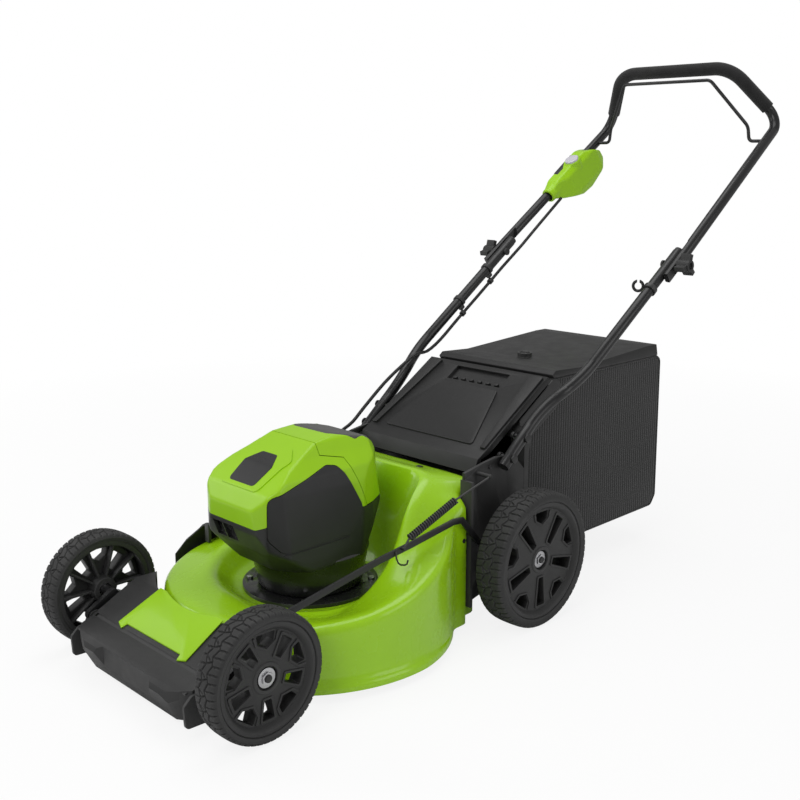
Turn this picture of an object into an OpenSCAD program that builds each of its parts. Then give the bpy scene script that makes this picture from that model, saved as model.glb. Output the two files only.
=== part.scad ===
// Cordless walk-behind lawn mower with a rear grass bag.
// Millimetres. The front faces -Y, +X is the left side of the person who pushes it, +Z is up.
// Modules draw with the rear axle at y = 0 and place() then centres the footprint on the origin.

/* [Wheels] */
// Distance between the front and the rear axle
wheelbase = 605.2; // [598:0.2:612]
// Front wheel diameter over the tread
front_wheel_d = 203.2; // [196:0.1:204]
// Rear wheel diameter over the tread
rear_wheel_d = 254; // [246:1:256]
// Width of a front tyre
front_tyre_w = 50; // [46:1:54]
// Width of a rear tyre
rear_tyre_w = 59; // [55:1:63]
// Inner face of the front tyres from the centre plane
front_wheel_in = 209; // [208.5:0.5:214]
// Inner face of the rear tyres from the centre plane
rear_wheel_in = 222; // [221:0.5:228]
// Depth of the front tread over the rim
front_tread_t = 14; // [12:1:18]
// Depth of the rear tread over the rim
rear_tread_t = 18; // [15:1:22]
// Diameter of the crank axles
axle_d = 12; // [10:0.5:12.5]
// Outer diameter of a wheel bearing
bearing_d = 24; // [22:1:26]
// Number of spoke windows around a wheel
window_n = 5; // [4:1:6]

/* [Cutting height] */
// Length of the crank arms between pivot and wheel
crank_len = 50; // [46:1:52]
// Angle of the crank arms above level at the lowest cut
crank_up = 30; // [24:1:32]
// Length of the arms that carry the link rod
link_arm = 50; // [46:1:52]
// Length of the height lever from the crank pivot to the knob
lever_len = 160; // [140:1:170]

/* [Deck] */
// Radius of the deck skirt around the blade shaft
deck_r = 258; // [254:1:260]
// Distance from the rear axle forward to the blade shaft
shaft_fwd = 317; // [314:1:320]
// Bottom edge of the deck above the ground
deck_floor = 14; // [10:1:20]
// Thickness of the deck wall
deck_t = 3; // [2.5:0.1:4]
// How far the rolled rim stands out of the skirt
rim_out = 11; // [6:1:11]
// Half width of the deck beside the rear wheels
deck_rear_half = 195; // [190:1:196]
// Radius of the motor opening
motor_hole_r = 90; // [80:1:96]
// Level of the seat that carries the motor
motor_seat_z = 96; // [92:1:100]

/* [Blade] */
// Length of the blade
blade_len = 456; // [420:1:470]
// Width of the blade
blade_w = 54; // [45:1:60]
// Thickness of the blade
blade_t = 3.5; // [3:0.1:4.5]
// Underside of the blade above the ground
blade_z = 34; // [32:1:38]
// Diameter of the motor shaft
shaft_d = 17; // [14:1:18]

/* [Motor housing] */
// Half width of the housing at its widest
housing_half = 96; // [94:1:100]
// Radius of the round neck of the housing
neck_r = 98; // [96:1:104]
// Radius of the ring that the housing stands on
ring_r = 121; // [118:1:126]
// Level of the top of the housing
housing_top = 379; // [376:1:383]
// Width of the battery pack
battery_w = 84; // [70:1:90]
// Length of the battery pack
battery_len = 150; // [120:1:156]
// Height of the battery pack
battery_h = 62; // [50:1:64]

/* [Handle] */
// Diameter of the handle tubes
tube_d = 22; // [20:0.5:23]
// Diameter of the foam grip
grip_d = 29; // [26:0.5:32]
// Half width of the lower tubes at the fold
lower_half = 222; // [220:0.5:224]
// Half width of the crossbar at its bends
crossbar_half = 143; // [135:1:150]
// Diameter of the bail rod
bail_d = 7.5; // [6:0.5:8]
// Diameter of the fold bolts
fold_bolt_d = 8; // [6:0.5:9]
// Diameter of the switch cable
cable_d = 7; // [5:0.5:7.5]

/* [Rear flap and bag] */
// Half width of the rear flap
flap_half = 156; // [150:1:160]
// Diameter of the flap hinge rod
hinge_rod_d = 7; // [6:0.5:8]
// Half width of the grass bag
bag_half = 152; // [146:1:154]
// Rear end of the bag behind the rear axle
bag_end = 560; // [520:1:580]
// Height of the bag
bag_top = 437; // [430:1:442]
// Thickness of the bag walls
bag_t = 3; // [2:0.5:4]

/* [Fits] */
// Radial clearance of a turning fit
run_fit = 0.05; // [0.02:0.01:0.09]
// Gap between pieces that only lie beside each other
side_gap = 0.3; // [0.2:0.1:0.6]

/* [Hidden] */
$fn = 48;

lime = [0.52, 0.8, 0.08];
black = [0.12, 0.12, 0.13];
steel = [0.7, 0.71, 0.72];

// The footprint runs from the front tyres to the rear bend of the handle
rear_axle_y = -81.3;
front_y = -wheelbase;
shaft_y = -shaft_fwd;
axle_r = axle_d / 2;
tube_r = tube_d / 2;

// Crank pivots, link pins and their travel
front_wheel_z = front_wheel_d / 2;
rear_wheel_z = rear_wheel_d / 2;
front_hub = [front_y, front_wheel_z];
rear_hub = [0, rear_wheel_z];
crank_dy = crank_len * cos(crank_up);
crank_dz = crank_len * sin(crank_up);
front_pivot = [front_y - crank_dy, front_wheel_z - crank_dz];
rear_pivot = [-crank_dy, rear_wheel_z - crank_dz];
link_angle = 90 + crank_up;
link_pin = [link_arm * cos(link_angle), link_arm * sin(link_angle)];
link_pin_r = 4;
front_link = front_pivot + link_pin;
rear_link = rear_pivot + link_pin;

// Places along the width of the crank axles
front_arm_out = front_wheel_in - 15;
front_bar_half = front_arm_out - 10;
plate_in = 172;
plate_t = 6;
plate_out = plate_in + plate_t;
rear_arm_in = 206;
rear_arm_out = 214;
link_in = 200.5;
link_out = 204.5;
bush_wall = 4;
arm_wall = 3;
weld_gap = 0.02;

// Hub stations from the inner face of a wheel
hub_start = 4;
hub_r = 20;
bearing_w = 8;
bearing_in = 6;
front_hub_end = front_tyre_w - 13;
rear_hub_end = rear_tyre_w - 15;
nut_flange_t = 2.5;
nut_h = 6;
nut_flange_r = 15.5;
nut_gap = 0.5;

// Deck outline and heights by angle from straight ahead, left side positive
deck_flange_y = -111;
deck_end_y = -61;
deck_end_half = 168;
rim_h = 10;
shoulder_drop = 16;
crest_in = 78;
brow_in = 50;
shoulder_in = 18;
bowl_r = 140;
skirt_z = [[-180, 274], [-150, 274], [-141, 266], [-133, 225], [-127, 172], [-118, 145], [-108, 130],
    [-50, 120], [50, 120], [72, 130], [92, 148], [104, 164], [116, 178], [126, 198], [134, 236],
    [142, 266], [150, 274], [180, 274]];
crest_z = [[-180, 289], [-150, 288], [-138, 270], [-127, 235], [-115, 200], [-105, 175], [-90, 156],
    [-75, 144], [-60, 137], [-30, 132], [0, 126], [15, 118], [30, 110], [60, 106], [75, 116],
    [90, 146], [105, 180], [120, 228], [130, 256], [140, 276], [150, 288], [180, 289]];
half_turn = concat([for (a = [0 : 6 : 126]) a], [131, 136.4, 140.9, 146.7], [for (a = [154 : 8 : 178]) a]);
deck_angles = concat(half_turn, [for (i = [len(half_turn) - 1 : -1 : 1]) -half_turn[i]]);

// Tunnel that leads the clippings from the deck into the bag
tunnel_half = 150;
tunnel_low = 118;
tunnel_high = 266;

// Housing outlines: side (y, z), front (x, z) and plan (x, y)
housing_side = [[-415, 138], [-468, 205], [-482, 240], [-486, 280], [-470, 306], [-422, 339],
    [-350, 372], [-300, housing_top], [-226, 362],
    [-208, 344], [-204, 290], [-198, 244], [-212, 208], [-236, 168], [-236, 138]];
housing_half_front = [[104, 138], [100, 200], [housing_half, 300], [90, 324], [72, 350], [60, 372],
    [40, 384]];
housing_half_plan = [[56, -487], [82, -474], [104, -430], [104, -290], [86, -242], [60, -198]];
// Reach of the rear corners from the shaft, seen square to the corner (reach, z)
housing_corner = [[96, 138], [100, 168], [114, 206], [125, 242], [119, 285], [115, 335], [106, 356],
    [70, 390]];
battery_y = -337;
housing_mid = [0, battery_y, 258];
floor_z = 184;
floor_t = 4;
tray_wall = 4;
tray_floor = 8;
housing_shrink = 0.955;
panel_side = [[-471, 301], [-345, 334], [-325, 330], [-312, 315], [-278, 253], [-299, 207],
    [-392, 176], [-442, 209]];
panel_proud = 2;
// Seam between the cover and the black lower housing, from front to rear
seam_rear_z = 250;
seam_front_z = 249;
seam_low = [[-520, seam_front_z], [-484, seam_front_z], [-472, 258], [-462, 274], [-340, 296], [-286, 262],
    [-272, seam_rear_z], [-150, seam_rear_z]];
hatch_cut = [[-350, 420], [-350, 354], [-300, 342], [-262, seam_rear_z], [-150, seam_rear_z], [-150, 420]];
slot_x = -56;
slot_z = 214;
slot_w = 16;
slot_h = 24;
hatch_pin = [-347.5, 369.5];
hatch_barrel_r = 2.6;
hatch_barrel_half = 40;
split_gap = 0.4;

// Motor inside the neck
stator_r = 62;
rotor_r = 36;
air_gap = 0.8;
stack_low = 116;
stack_high = 156;
ball_r = 20;
ball_w = 10;
low_ball_z = motor_seat_z + 6;
top_ball_z = 166;

// Rear flap hinge and slope
flap_pin = [-38, 290];
flap_slope = 32.5;
flap_len = 210;
flap_t = 12;

// Handle: lower tubes, fold and upper legs, right half mirrored
fold_pin = [454.7, 626.8];
lower_foot_x = plate_out + tube_r + side_gap;
lower_foot = [lower_foot_x, -14, 288];
lower_heel = [lower_foot_x, 90, 377];
lower_bend = [lower_half - 1.5, 175.5, 432];
lower_top = [lower_half, 484, 648];
upper_foot = [240, 421, 603];
upper_flat_x = lower_half + tube_r + side_gap;
flat_t = 10;
flat_end_y = 512;
knob_reach = 24;
upper_bend = [225.4, 873.2, 917.2];
grip_bend = [crossbar_half, 788.6, 1032];
bail_pin = [811, 874];
bail_path = [[221, 811, 874], [187, 811, 874], [183, 810, 906], [113, 757, 1006]];
bail_ease = 9;
tube_ease = 40;
knob_base_x = 252;
knob_len = 20;
box_x = -229.5;
box_half = 24;
box_side = [[640, 742], [676, 742], [759, 752], [829, 808], [838, 846], [784, 858], [745, 853], [648, 786],
    [634, 765]];
button_at = [box_x + 6, 712, 830];
button_tilt = 34.6;

// Switch cable along the right leg, three pieces that meet end to end
cable_up_route = [[-214, 660, 743], [-213, 603, 703], [-212, 560, 673], [-211, 515, 641]];
cable_fold_route = [[-211, 515, 641], [-210, 480, 618], [-210, 440, 591], [-210, 405.3, 566.2]];
cable_low_route = [[-210, 405, 566], [-210, 350, 527], [-210, 295, 489], [-209, 235, 447],
    [-202, 186, 428], [-193, 142, 428], [-190, 92, 406], [-190, 46, 379], [-190, -8, 339],
    [-188, -45, 312], [-174, -85, 304], [-150, -118, 302], [-114, -144, 294], [-84, -168, 262],
    [-66, -196, 235], [-54, -222, 221]];

// Height assist spring above the link rod
spring_x = 209;
spring_lug = [-287, 206];
spring_low = [-274, 222];
spring_high = [-162, 263];
spring_hook = [-72, 286];
spring_r = 6.5;
wire_r = 1.5;

// Side discharge door on the right
door_pin = [-deck_r + 32, 161];
door_pin_r = 2.5;
door_barrel_r = 5;
door_t = 3;
door_front = -378;
door_rear = -262;
door_ear = 6;
ear_len = 12;
ear_drop = 0.1;
// Door section (x, z) outside, and its outline (y, z) seen from the side
door_section = [[-deck_r + 32, 166], [-deck_r + 11, 158], [-deck_r - 5, 131], [-deck_r - 7, 42]];
door_outline = [[door_rear, 30], [-431, 30], [-431, 108], [-383, 151], [door_front, 158],
    [door_front, 170], [door_rear, 170]];
door_window = [[-400, 48], [-290, 114]];

// Rear body: side plates, ramp under the tunnel, hinge beam and trailing guard
ramp = [[deck_end_y + 2.2, 112], [58, 150]];
ramp_t = 4;
beam_z = 252;
body_plate = [[deck_flange_y + 6, 40], [-30, 56], [42, 90], [60, 150], [60, 268], [30, 300],
    [-20, 306], [deck_end_y, 300], [deck_flange_y + 6, 292]];
lower_bolt_at = [[2, 302], [40, 334]];
lower_bolt_r = 4;

// Front bumper and the badge panel on it
bumper_front = front_y - 98;
bumper_back = shaft_y - deck_r * 0.78;
bumper_half = front_bar_half - 14;
bumper_t = 3.5;
bumper_deck_gap = 1.5;
bumper_foot = 32;
bumper_knee = 148;
bumper_brow_z = 60;
badge_low = [front_y - 47, 88];
badge_high = [shaft_y - deck_r + 6, 131];
badge_t = 3;

// Bolts of the motor ring and the blade
ring_bolt_r = 3;
ring_bolt_in = 12;
ring_t = 7;
blade_bolt_r = 5;
blade_peg_r = 4;
blade_peg_x = 22;
carrier_t = 6;
button_r = 13;

// Clips that hold the cable on the right leg
clip_w = 9;
clip_eye = [-11, 0, -27];
clip_places = [0.42, 0.72];
guide_place = 0.68;
rear_eye_slack = 0.5;

// Rear flap outline points along its slope
flap_dir = [cos(flap_slope), sin(flap_slope)];
flap_up = [-sin(flap_slope), cos(flap_slope)];
flap_crease = [-24, 314];
flap_rear = flap_crease + flap_len * flap_dir;
flap_barrels = [-120, -20, 80];
flap_barrel_w = 40;
flap_barrel_r = 8;

// Grass bag outline (y, z)
bag_front = 60.3;
bag_plate_t = 12;
bag_low = 70;
bag_lid_z = 420;
bag_cover_front = 176;

module place() translate([0, rear_axle_y, 0]) children();

module both() {
    children();
    mirror([1, 0, 0]) children();
}

// Points of a right half and their mirror images, as one outline
function two_sided(half) = concat(half, [for (i = [len(half) - 1 : -1 : 0]) [-half[i].x, half[i].y]]);

// A (y, z) outline extruded from x0 to x1
module side_slab(x0, x1, points) translate([x0, 0, 0]) rotate([90, 0, 90])
    linear_extrude(x1 - x0) polygon(points);

// A cylinder along X between two stations at p = (y, z)
module cross_rod(x0, x1, p, r) translate([x0, p.x, p.y]) rotate([0, 90, 0]) cylinder(r = r, h = x1 - x0);

// A round rod between two points
module rod(p, q, r) {
    d = q - p;
    translate(p) rotate([0, acos(d.z / norm(d)), atan2(d.y, d.x)]) cylinder(r = r, h = norm(d), $fn = 32);
}

// Arc of rod that rounds the corner b between a and c, from a tangent length before b to as far after it.
// It is a hair thinner than the straight rods and its ends reach a little way into them.
module elbow(a, b, c, r, tangent) {
    to_a = unit(a - b);
    to_c = unit(c - b);
    half = acos(to_a * to_c) / 2;
    bend = tangent * tan(half);
    centre = b + unit(to_a + to_c) * bend / sin(half);
    lap = atan(0.5 / bend);
    x = unit(b + tangent * to_a - centre);
    z = cross(x, -to_a);
    y = cross(z, x);
    translate(centre) rotate([atan2(y.z, z.z), -asin(x.z), atan2(x.y, x.x)]) rotate(-lap)
        rotate_extrude(angle = 180 - 2 * half + 2 * lap) translate([bend, 0]) circle(r - run_fit, $fn = 32);
}

// Round rod through a list of points; each inner corner is rounded over the tangent length
module bent_rod(points, r, tangent) {
    last = len(points) - 1;
    for (i = [0 : last - 1]) {
        d = unit(points[i + 1] - points[i]);
        rod(points[i] + (i == 0 ? 0 : tangent) * d, points[i + 1] - (i == last - 1 ? 0 : tangent) * d, r);
    }
    for (i = [1 : last - 1]) elbow(points[i - 1], points[i], points[i + 1], r, tangent);
}

// A flat strap of constant width through (y, z) points, from x0 to x1, with round ends
function strap_edge(p, i, half) = let (
    last = len(p) - 1,
    before = i == 0 ? p[1] - p[0] : p[i] - p[i - 1],
    after = i == last ? before : p[i + 1] - p[i],
    n = unit([-unit(before).y - unit(after).y, unit(before).x + unit(after).x])
) p[i] + half / (n * [-unit(before).y, unit(before).x]) * n;
module strap(x0, x1, points, w) translate([x0, 0, 0]) rotate([90, 0, 90]) linear_extrude(x1 - x0) {
    last = len(points) - 1;
    polygon(concat([for (i = [0 : last]) strap_edge(points, i, w / 2)],
        [for (i = [last : -1 : 0]) strap_edge(points, i, -w / 2)]));
    for (p = [points[0], points[last]]) translate(p) circle(w / 2 + run_fit);
}

// Swept cable: rings of points square to the route
cable_sides = 8;
function blend_point(a, b, c, d, t) = 0.5 * (2 * b + (c - a) * t + (2 * a - 5 * b + 4 * c - d) * t * t
    + (3 * b - a - 3 * c + d) * t * t * t);
function smooth_route(p, n) = let (last = len(p) - 1) concat([for (i = [0 : last - 1]) for (k = [0 : n - 1])
    blend_point(p[max(i - 1, 0)], p[i], p[i + 1], p[min(i + 2, last)], k / n)], [p[last]]);
function unit(v) = v / norm(v);
function cable_ring(p, i, r) = let (
    t = unit(p[min(i + 1, len(p) - 1)] - p[max(i - 1, 0)]),
    u = unit(cross(t, [1, 0.2, 0])), w = cross(t, u)
) [for (k = [0 : cable_sides - 1]) let (turn = k * 360 / cable_sides)
    p[i] + r * (cos(turn) * u + sin(turn) * w)];

module cable(route, r) {
    p = smooth_route(route, 3);
    n = len(p);
    m = cable_sides;
    rings = [for (i = [0 : n - 1]) each cable_ring(p, i, r)];
    sides = [for (i = [0 : n - 2]) for (k = [0 : m - 1]) each [
        [i * m + k, (i + 1) * m + k, (i + 1) * m + (k + 1) % m],
        [i * m + k, (i + 1) * m + (k + 1) % m, i * m + (k + 1) % m]]];
    caps = [[for (k = [0 : m - 1]) k], [for (k = [m - 1 : -1 : 0]) (n - 1) * m + k]];
    polyhedron(rings, concat(sides, caps));
}

// Deck outline: a circle joined to the boxes that reach back beside the tunnel
function box_reach(a, half, back) = cos(a) > -0.01 ? 0
    : min(half / max(abs(sin(a)), 0.001), back / -cos(a));
function skirt_r(a) = max(deck_r, box_reach(a, deck_rear_half, shaft_fwd + deck_flange_y),
    box_reach(a, deck_end_half, shaft_fwd + deck_end_y));
// Height of the deck between shoulder and crest
function brow_z(h, c) = h + (c - h) * 0.45;
function deck_top(a, r) = lookup(r, [[deck_r - crest_in, lookup(a, crest_z)],
    [deck_r - brow_in, brow_z(lookup(a, skirt_z), lookup(a, crest_z))],
    [deck_r - shoulder_in, lookup(a, skirt_z) + 1]]);
function rim_at(a) = rim_out * min(max((128 - abs(a)) / 32, 0), 1);
function deck_section(a, t) = let (r = skirt_r(a), h = lookup(a, skirt_z), c = lookup(a, crest_z),
    e = rim_at(a), s = t > 0 ? 1 : 0, wall = t * 0.7, low = motor_seat_z) [
    [r + e - t, deck_floor],
    [r + e - t, deck_floor + rim_h - s],
    [r - t, deck_floor + rim_h + e * 0.9 - s],
    [r - t, h - shoulder_drop],
    [r - 5 - t * 0.8, h - 3 - t * 0.6],
    [r - shoulder_in - t * 0.5, h + 1 - t * 0.9],
    [r - brow_in, brow_z(h, c) - t],
    [r - crest_in, c - t],
    [r - crest_in - 14 + wall, c - 5 - t],
    [bowl_r + 14 + wall, low + 8 + (c - low) * 0.3 - t],
    [bowl_r - 4 + wall, low - t],
    [motor_hole_r, low - t]];

module deck_form() {
    rings = [for (a = deck_angles) let (
        wall = concat(deck_section(a, 0), [for (i = [11 : -1 : 0]) deck_section(a, deck_t)[i]])
    ) [for (q = wall) [q.x * sin(a), shaft_y - q.x * cos(a), q.y]]];
    m = len(rings[0]);
    n = len(rings);
    faces = [for (i = [0 : n - 1]) for (k = [0 : m - 1]) let (
        a = i * m + k, b = i * m + (k + 1) % m,
        c = ((i + 1) % n) * m + (k + 1) % m, d = ((i + 1) % n) * m + k
    ) each [[a, b, c], [a, c, d]]];
    polyhedron([for (q = rings) each q], faces);
}

// Places of the four bolts around the motor ring
module at_ring_bolts() translate([0, shaft_y, 0]) for (turn = [45 : 90 : 315])
    rotate(turn) translate([ring_r - ring_bolt_in, 0, 0]) children();

module deck_shell() place() color(lime) difference() {
    deck_form();
    // Mouth of the tunnel
    translate([-tunnel_half, deck_end_y - 20, tunnel_low])
        cube([2 * tunnel_half, 40, tunnel_high - tunnel_low]);
    at_ring_bolts() translate([0, 0, 80]) cylinder(r = ring_bolt_r, h = 30);
    // Side discharge window on the right
    side_slab(-deck_r - 20, -deck_r + 40, [door_window[0], [door_window[1].x, door_window[0].y],
        door_window[1], [door_window[0].x, door_window[1].y]]);
}

// Black rear body: side plates, ramp under the tunnel, hinge beam and trailing guard
function ramp_z(y) = ramp[0].y + (y - ramp[0].x) * (ramp[1].y - ramp[0].y) / (ramp[1].x - ramp[0].x);

module rear_body() place() color(black) difference() {
    union() {
        both() {
            side_slab(plate_in, plate_out, body_plate);
            // Flange behind the deck wall
            translate([plate_in, deck_flange_y + 1, 44]) cube([deck_rear_half + 4 - plate_in, 6, 236]);
        }
        // Ear for the assist spring
        cross_rod(plate_out - 1, spring_x + 3, spring_hook, 4);
        side_slab(-plate_in, plate_in, [ramp[0], ramp[1], ramp[1] - [0, ramp_t], ramp[0] - [0, ramp_t]]);
        side_slab(-plate_in, plate_in, [[deck_end_y + 1, beam_z], [-14, beam_z], [-14, beam_z + 6],
            [deck_end_y + 1, beam_z + 6]]);
        side_slab(-plate_in, plate_in, [[44, 34], [49, 34], [52, ramp_z(52) - 2], [47, ramp_z(47) - 2]]);
        // Notched quadrant that the height lever clicks into
        translate([-plate_out - 12, 0, 0]) side_slab(0, 12, [[-80, 200], [20, 200], [20, 218], [10, 214],
            [0, 222], [-10, 218], [-20, 226], [-30, 222], [-40, 230], [-50, 226], [-80, 232]]);
    }
    cross_rod(-240, 240, rear_pivot, axle_r + bush_wall);
    cross_rod(-240, 240, flap_pin, hinge_rod_d / 2);
    for (p = lower_bolt_at) cross_rod(-240, 240, p, lower_bolt_r);
}

// Front bumper: a shell over the front crank that follows the deck skirt; inset draws its inside
module bumper_plan(inset) linear_extrude(200) polygon(two_sided([
    [bumper_half - inset, bumper_back], [bumper_half - inset, bumper_front + 60],
    [bumper_half - 4 - inset, bumper_front + 24 + inset], [bumper_knee - inset, bumper_front + 12 + inset],
    [112 - inset, bumper_front + inset], [84 - inset, bumper_front + inset],
    [70 - inset, bumper_front + 10 + inset]]));

function bumper_top(inset) = [[bumper_front + bumper_foot + inset, -5],
    [bumper_front + inset, bumper_brow_z - inset],
    [bumper_front + 4 + inset, 68 - inset], [bumper_front + 14, 74 - inset],
    badge_low - [0, badge_t + inset], badge_high - [0, badge_t + inset + 1],
    [bumper_back + 5, 126 - inset], [bumper_back + 5, -5]];

// Bumper body above z0; its lower corners lean back
module bumper_body(inset, z0) difference() {
    intersection() {
        translate([0, 0, z0]) bumper_plan(inset);
        side_slab(-bumper_half - 1, bumper_half + 1, bumper_top(inset));
    }
    both() translate([bumper_knee, bumper_front + 12, bumper_brow_z]) rotate([0, 0, 33]) rotate([27, 0, 0])
        translate([-60, -60, -80]) cube([140, 60 + inset, 80]);
}

module front_bumper() place() color(black) difference() {
    bumper_body(0, deck_floor);
    bumper_body(bumper_t, -1);
    translate([0, shaft_y, -1]) cylinder(r = deck_r + rim_out + bumper_deck_gap, h = 300, $fn = 96);
    cross_rod(-bumper_half - 5, bumper_half + 5, front_pivot, axle_r + bush_wall);
}

module badge_panel() place() color(lime) intersection() {
    side_slab(-110, 110, [badge_low, badge_high, badge_high - [0, badge_t], badge_low - [0, badge_t]]);
    difference() {
        linear_extrude(200) polygon(two_sided([[84, badge_high.x + 60], [100, badge_low.x + 6],
            [82, badge_low.x], [78, badge_low.x + 10]]));
        translate([0, shaft_y, -1]) cylinder(r = deck_r + 4, h = 300, $fn = 96);
    }
}

module motor_ring() place() color(black) difference() {
    translate([0, shaft_y, 0]) difference() {
        union() {
            translate([0, 0, motor_seat_z]) cylinder(r = ring_r, h = ring_t);
            translate([0, 0, low_ball_z - ball_w / 2 - 3]) cylinder(r = ball_r + 6, h = ball_w + 3);
        }
        // Vents between the seat and the bearing
        for (turn = [0 : 60 : 300]) rotate(turn) translate([66, 0, motor_seat_z - 1])
            cylinder(r = 11, h = 20);
        translate([0, 0, low_ball_z - ball_w / 2]) cylinder(r = ball_r, h = 40);
        cylinder(r = shaft_d / 2 + 1, h = 200);
    }
    at_ring_bolts() cylinder(r = ring_bolt_r, h = 200);
}

module housing_form() intersection() {
    side_slab(-120, 120, housing_side);
    translate([0, -100, 0]) rotate([90, 0, 0]) linear_extrude(450) polygon(two_sided(housing_half_front));
    linear_extrude(500) polygon(two_sided(housing_half_plan));
    housing_corner_cut();
    mirror([1, 0, 0]) housing_corner_cut();
}
module housing_corner_cut() translate([0, shaft_y, 0]) rotate([0, 0, -45])
    side_slab(-400, 400, concat([[-400, 390], [-400, 138]], housing_corner));
module housing_void() translate(housing_mid) scale(housing_shrink) translate(-housing_mid) housing_form();

panel_depth = 9;
module panel_pockets() both() side_slab(housing_half - panel_depth, 140, panel_side);

seam_low_area = concat(seam_low, [[-150, 60], [-520, 60]]);
function lower_seam(d) = [for (p = seam_low_area) p - [0, d]];

module housing_lower() place() color(black) difference() {
    union() {
        intersection() {
            difference() {
                housing_form();
                housing_void();
            }
            side_slab(-120, 120, lower_seam(split_gap));
        }
        // Round neck that stands on the motor ring
        translate([0, shaft_y, motor_seat_z + ring_t]) cylinder(r = neck_r, h = 52);
        // Floor that carries the battery tray and the top bearing
        intersection() {
            translate([-86, -450, floor_z]) cube([172, 196, floor_t]);
            housing_form();
        }
        translate([0, shaft_y, top_ball_z - ball_w / 2])
            cylinder(r = ball_r + 5, h = floor_z + 1 - top_ball_z + ball_w / 2);
    }
    translate([0, shaft_y, 0]) cylinder(r = shaft_d / 2 + 1, h = 250);
    translate([0, shaft_y, top_ball_z - ball_w / 2 - 1]) cylinder(r = ball_r, h = ball_w + 1);
    difference() {
        translate([0, shaft_y, 0]) cylinder(r = neck_r - 3.5, h = 180);
        translate([0, shaft_y, top_ball_z - ball_w / 2]) cylinder(r = ball_r + 5, h = 100);
    }
    // Grommet hole of the switch cable
    rod(cable_low_route[14], 2.5 * cable_low_route[15] - 1.5 * cable_low_route[14],
        cable_d / 2 + 3 * side_gap);
    panel_pockets();
    // Air slots in the front
    for (i = [0 : 2]) translate([slot_x + i * (slot_w + 3), -500, slot_z]) cube([slot_w, 40, slot_h]);
}

module cover_area() difference() {
    side_slab(-130, 130, [[-520, 60], [-520, 460], [-120, 460], [-120, 60]]);
    side_slab(-131, 131, concat(seam_low, [[-100, seam_rear_z], [-100, 50], [-530, 50],
        [-530, seam_front_z]]));
}

module housing_cover() place() color(lime) difference() {
    intersection() {
        difference() {
            housing_form();
            housing_void();
        }
        cover_area();
    }
    side_slab(-130, 130, hatch_cut);
    panel_pockets();
    cross_rod(-housing_half, housing_half, hatch_pin, hatch_barrel_r + 1);
}

// Panels a little smaller than their pockets
module side_panels() place() color(black) both()
    side_slab(housing_half - panel_depth + split_gap, housing_half + panel_proud,
        [for (p = panel_side) p + 0.004 * ([-375, 262] - p)]);

module battery_hatch() place() color(lime) difference() {
    union() {
        intersection() {
            difference() {
                housing_form();
                housing_void();
            }
            side_slab(-130, 130, [for (p = hatch_cut) p + [split_gap, split_gap * (p.y < 300 ? 1 : 0)]]);
        }
        cross_rod(-hatch_barrel_half, hatch_barrel_half, hatch_pin, hatch_barrel_r);
    }
    // Finger recess on top
    side_slab(-48, 48, [[-312, 400], [-312, 375.5], [-212, 358], [-212, 400]]);
}

// A block around the battery pack, grown on all four sides
pack_z = floor_z + floor_t + tray_floor;
module battery_block(grow, z, h) translate([-battery_w / 2 - grow, battery_y - battery_len / 2 - grow, z])
    cube([battery_w + 2 * grow, battery_len + 2 * grow, h]);

module battery_tray() place() color(black) difference() {
    battery_block(tray_wall, floor_z + floor_t, 34);
    battery_block(side_gap, pack_z, 60);
}

module battery_pack() place() color(black) {
    battery_block(0, pack_z, battery_h);
    // Grip ridge on top
    battery_block(-10, pack_z + battery_h, 10);
}

module safety_key() place() color("gold") {
    translate([-7, -432, floor_z + floor_t]) cube([14, 9, 30]);
    translate([0, -422.5, floor_z + 42]) rotate([90, 0, 0]) cylinder(r = 12, h = 10);
}

module motor_stator() place() translate([0, shaft_y, 0]) color("dimgray") {
    difference() {
        translate([0, 0, stack_low]) cylinder(r = stator_r, h = stack_high - stack_low);
        cylinder(r = rotor_r + air_gap, h = 300);
        // Winding slots
        for (i = [0 : 11]) rotate(i * 30) translate([rotor_r + 12, 0, 0]) cylinder(r = 5, h = 300);
    }
    // Legs down to the motor ring
    for (i = [0 : 2]) rotate(90 + i * 120) translate([stator_r - 8, -6, motor_seat_z + ring_t])
        cube([8, 12, stack_low - motor_seat_z - ring_t + 1]);
}

module control_board() place() color("seagreen") translate([-60, -446, floor_z + floor_t])
    cube([120, 12, 3]);

module motor_bearings() place() translate([0, shaft_y, 0]) color(steel) {
    for (z = [low_ball_z, top_ball_z]) translate([0, 0, z - ball_w / 2]) difference() {
        cylinder(r = ball_r - weld_gap, h = ball_w);
        translate([0, 0, -1]) cylinder(r = shaft_d / 2 + run_fit, h = ball_w + 2);
    }
}

module bush(x0, p) difference() {
    union() {
        cross_rod(x0, x0 + plate_t + 2, p, axle_r + bush_wall);
        cross_rod(x0 + plate_t, x0 + plate_t + 2, p, axle_r + bush_wall + 3);
    }
    cross_rod(x0 - 1, x0 + plate_t + 4, p, axle_r + run_fit);
}
module axle_bushes() place() color("dimgray") both() {
    bush(bumper_half - plate_t, front_pivot);
    bush(plate_in, rear_pivot);
}

module lower_tube() difference() {
    bent_rod([lower_foot, lower_heel, lower_bend, lower_top], tube_r, tube_ease);
    for (p = lower_bolt_at) cross_rod(160, 240, p, lower_bolt_r);
    cross_rod(180, 300, fold_pin, fold_bolt_d / 2 + run_fit);
}
module lower_tube_left() place() color(black) lower_tube();
module lower_tube_right() place() color(black) mirror([1, 0, 0]) lower_tube();

module handle_bolts() place() color(steel) both() for (p = lower_bolt_at) {
    cross_rod(plate_in - 4, lower_foot.x + tube_r + 2, p, lower_bolt_r - weld_gap);
    cross_rod(plate_in - 7, plate_in - side_gap, p, 7);
    cross_rod(lower_foot.x + tube_r + side_gap, lower_foot.x + tube_r + 4, p, 8);
}

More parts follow.
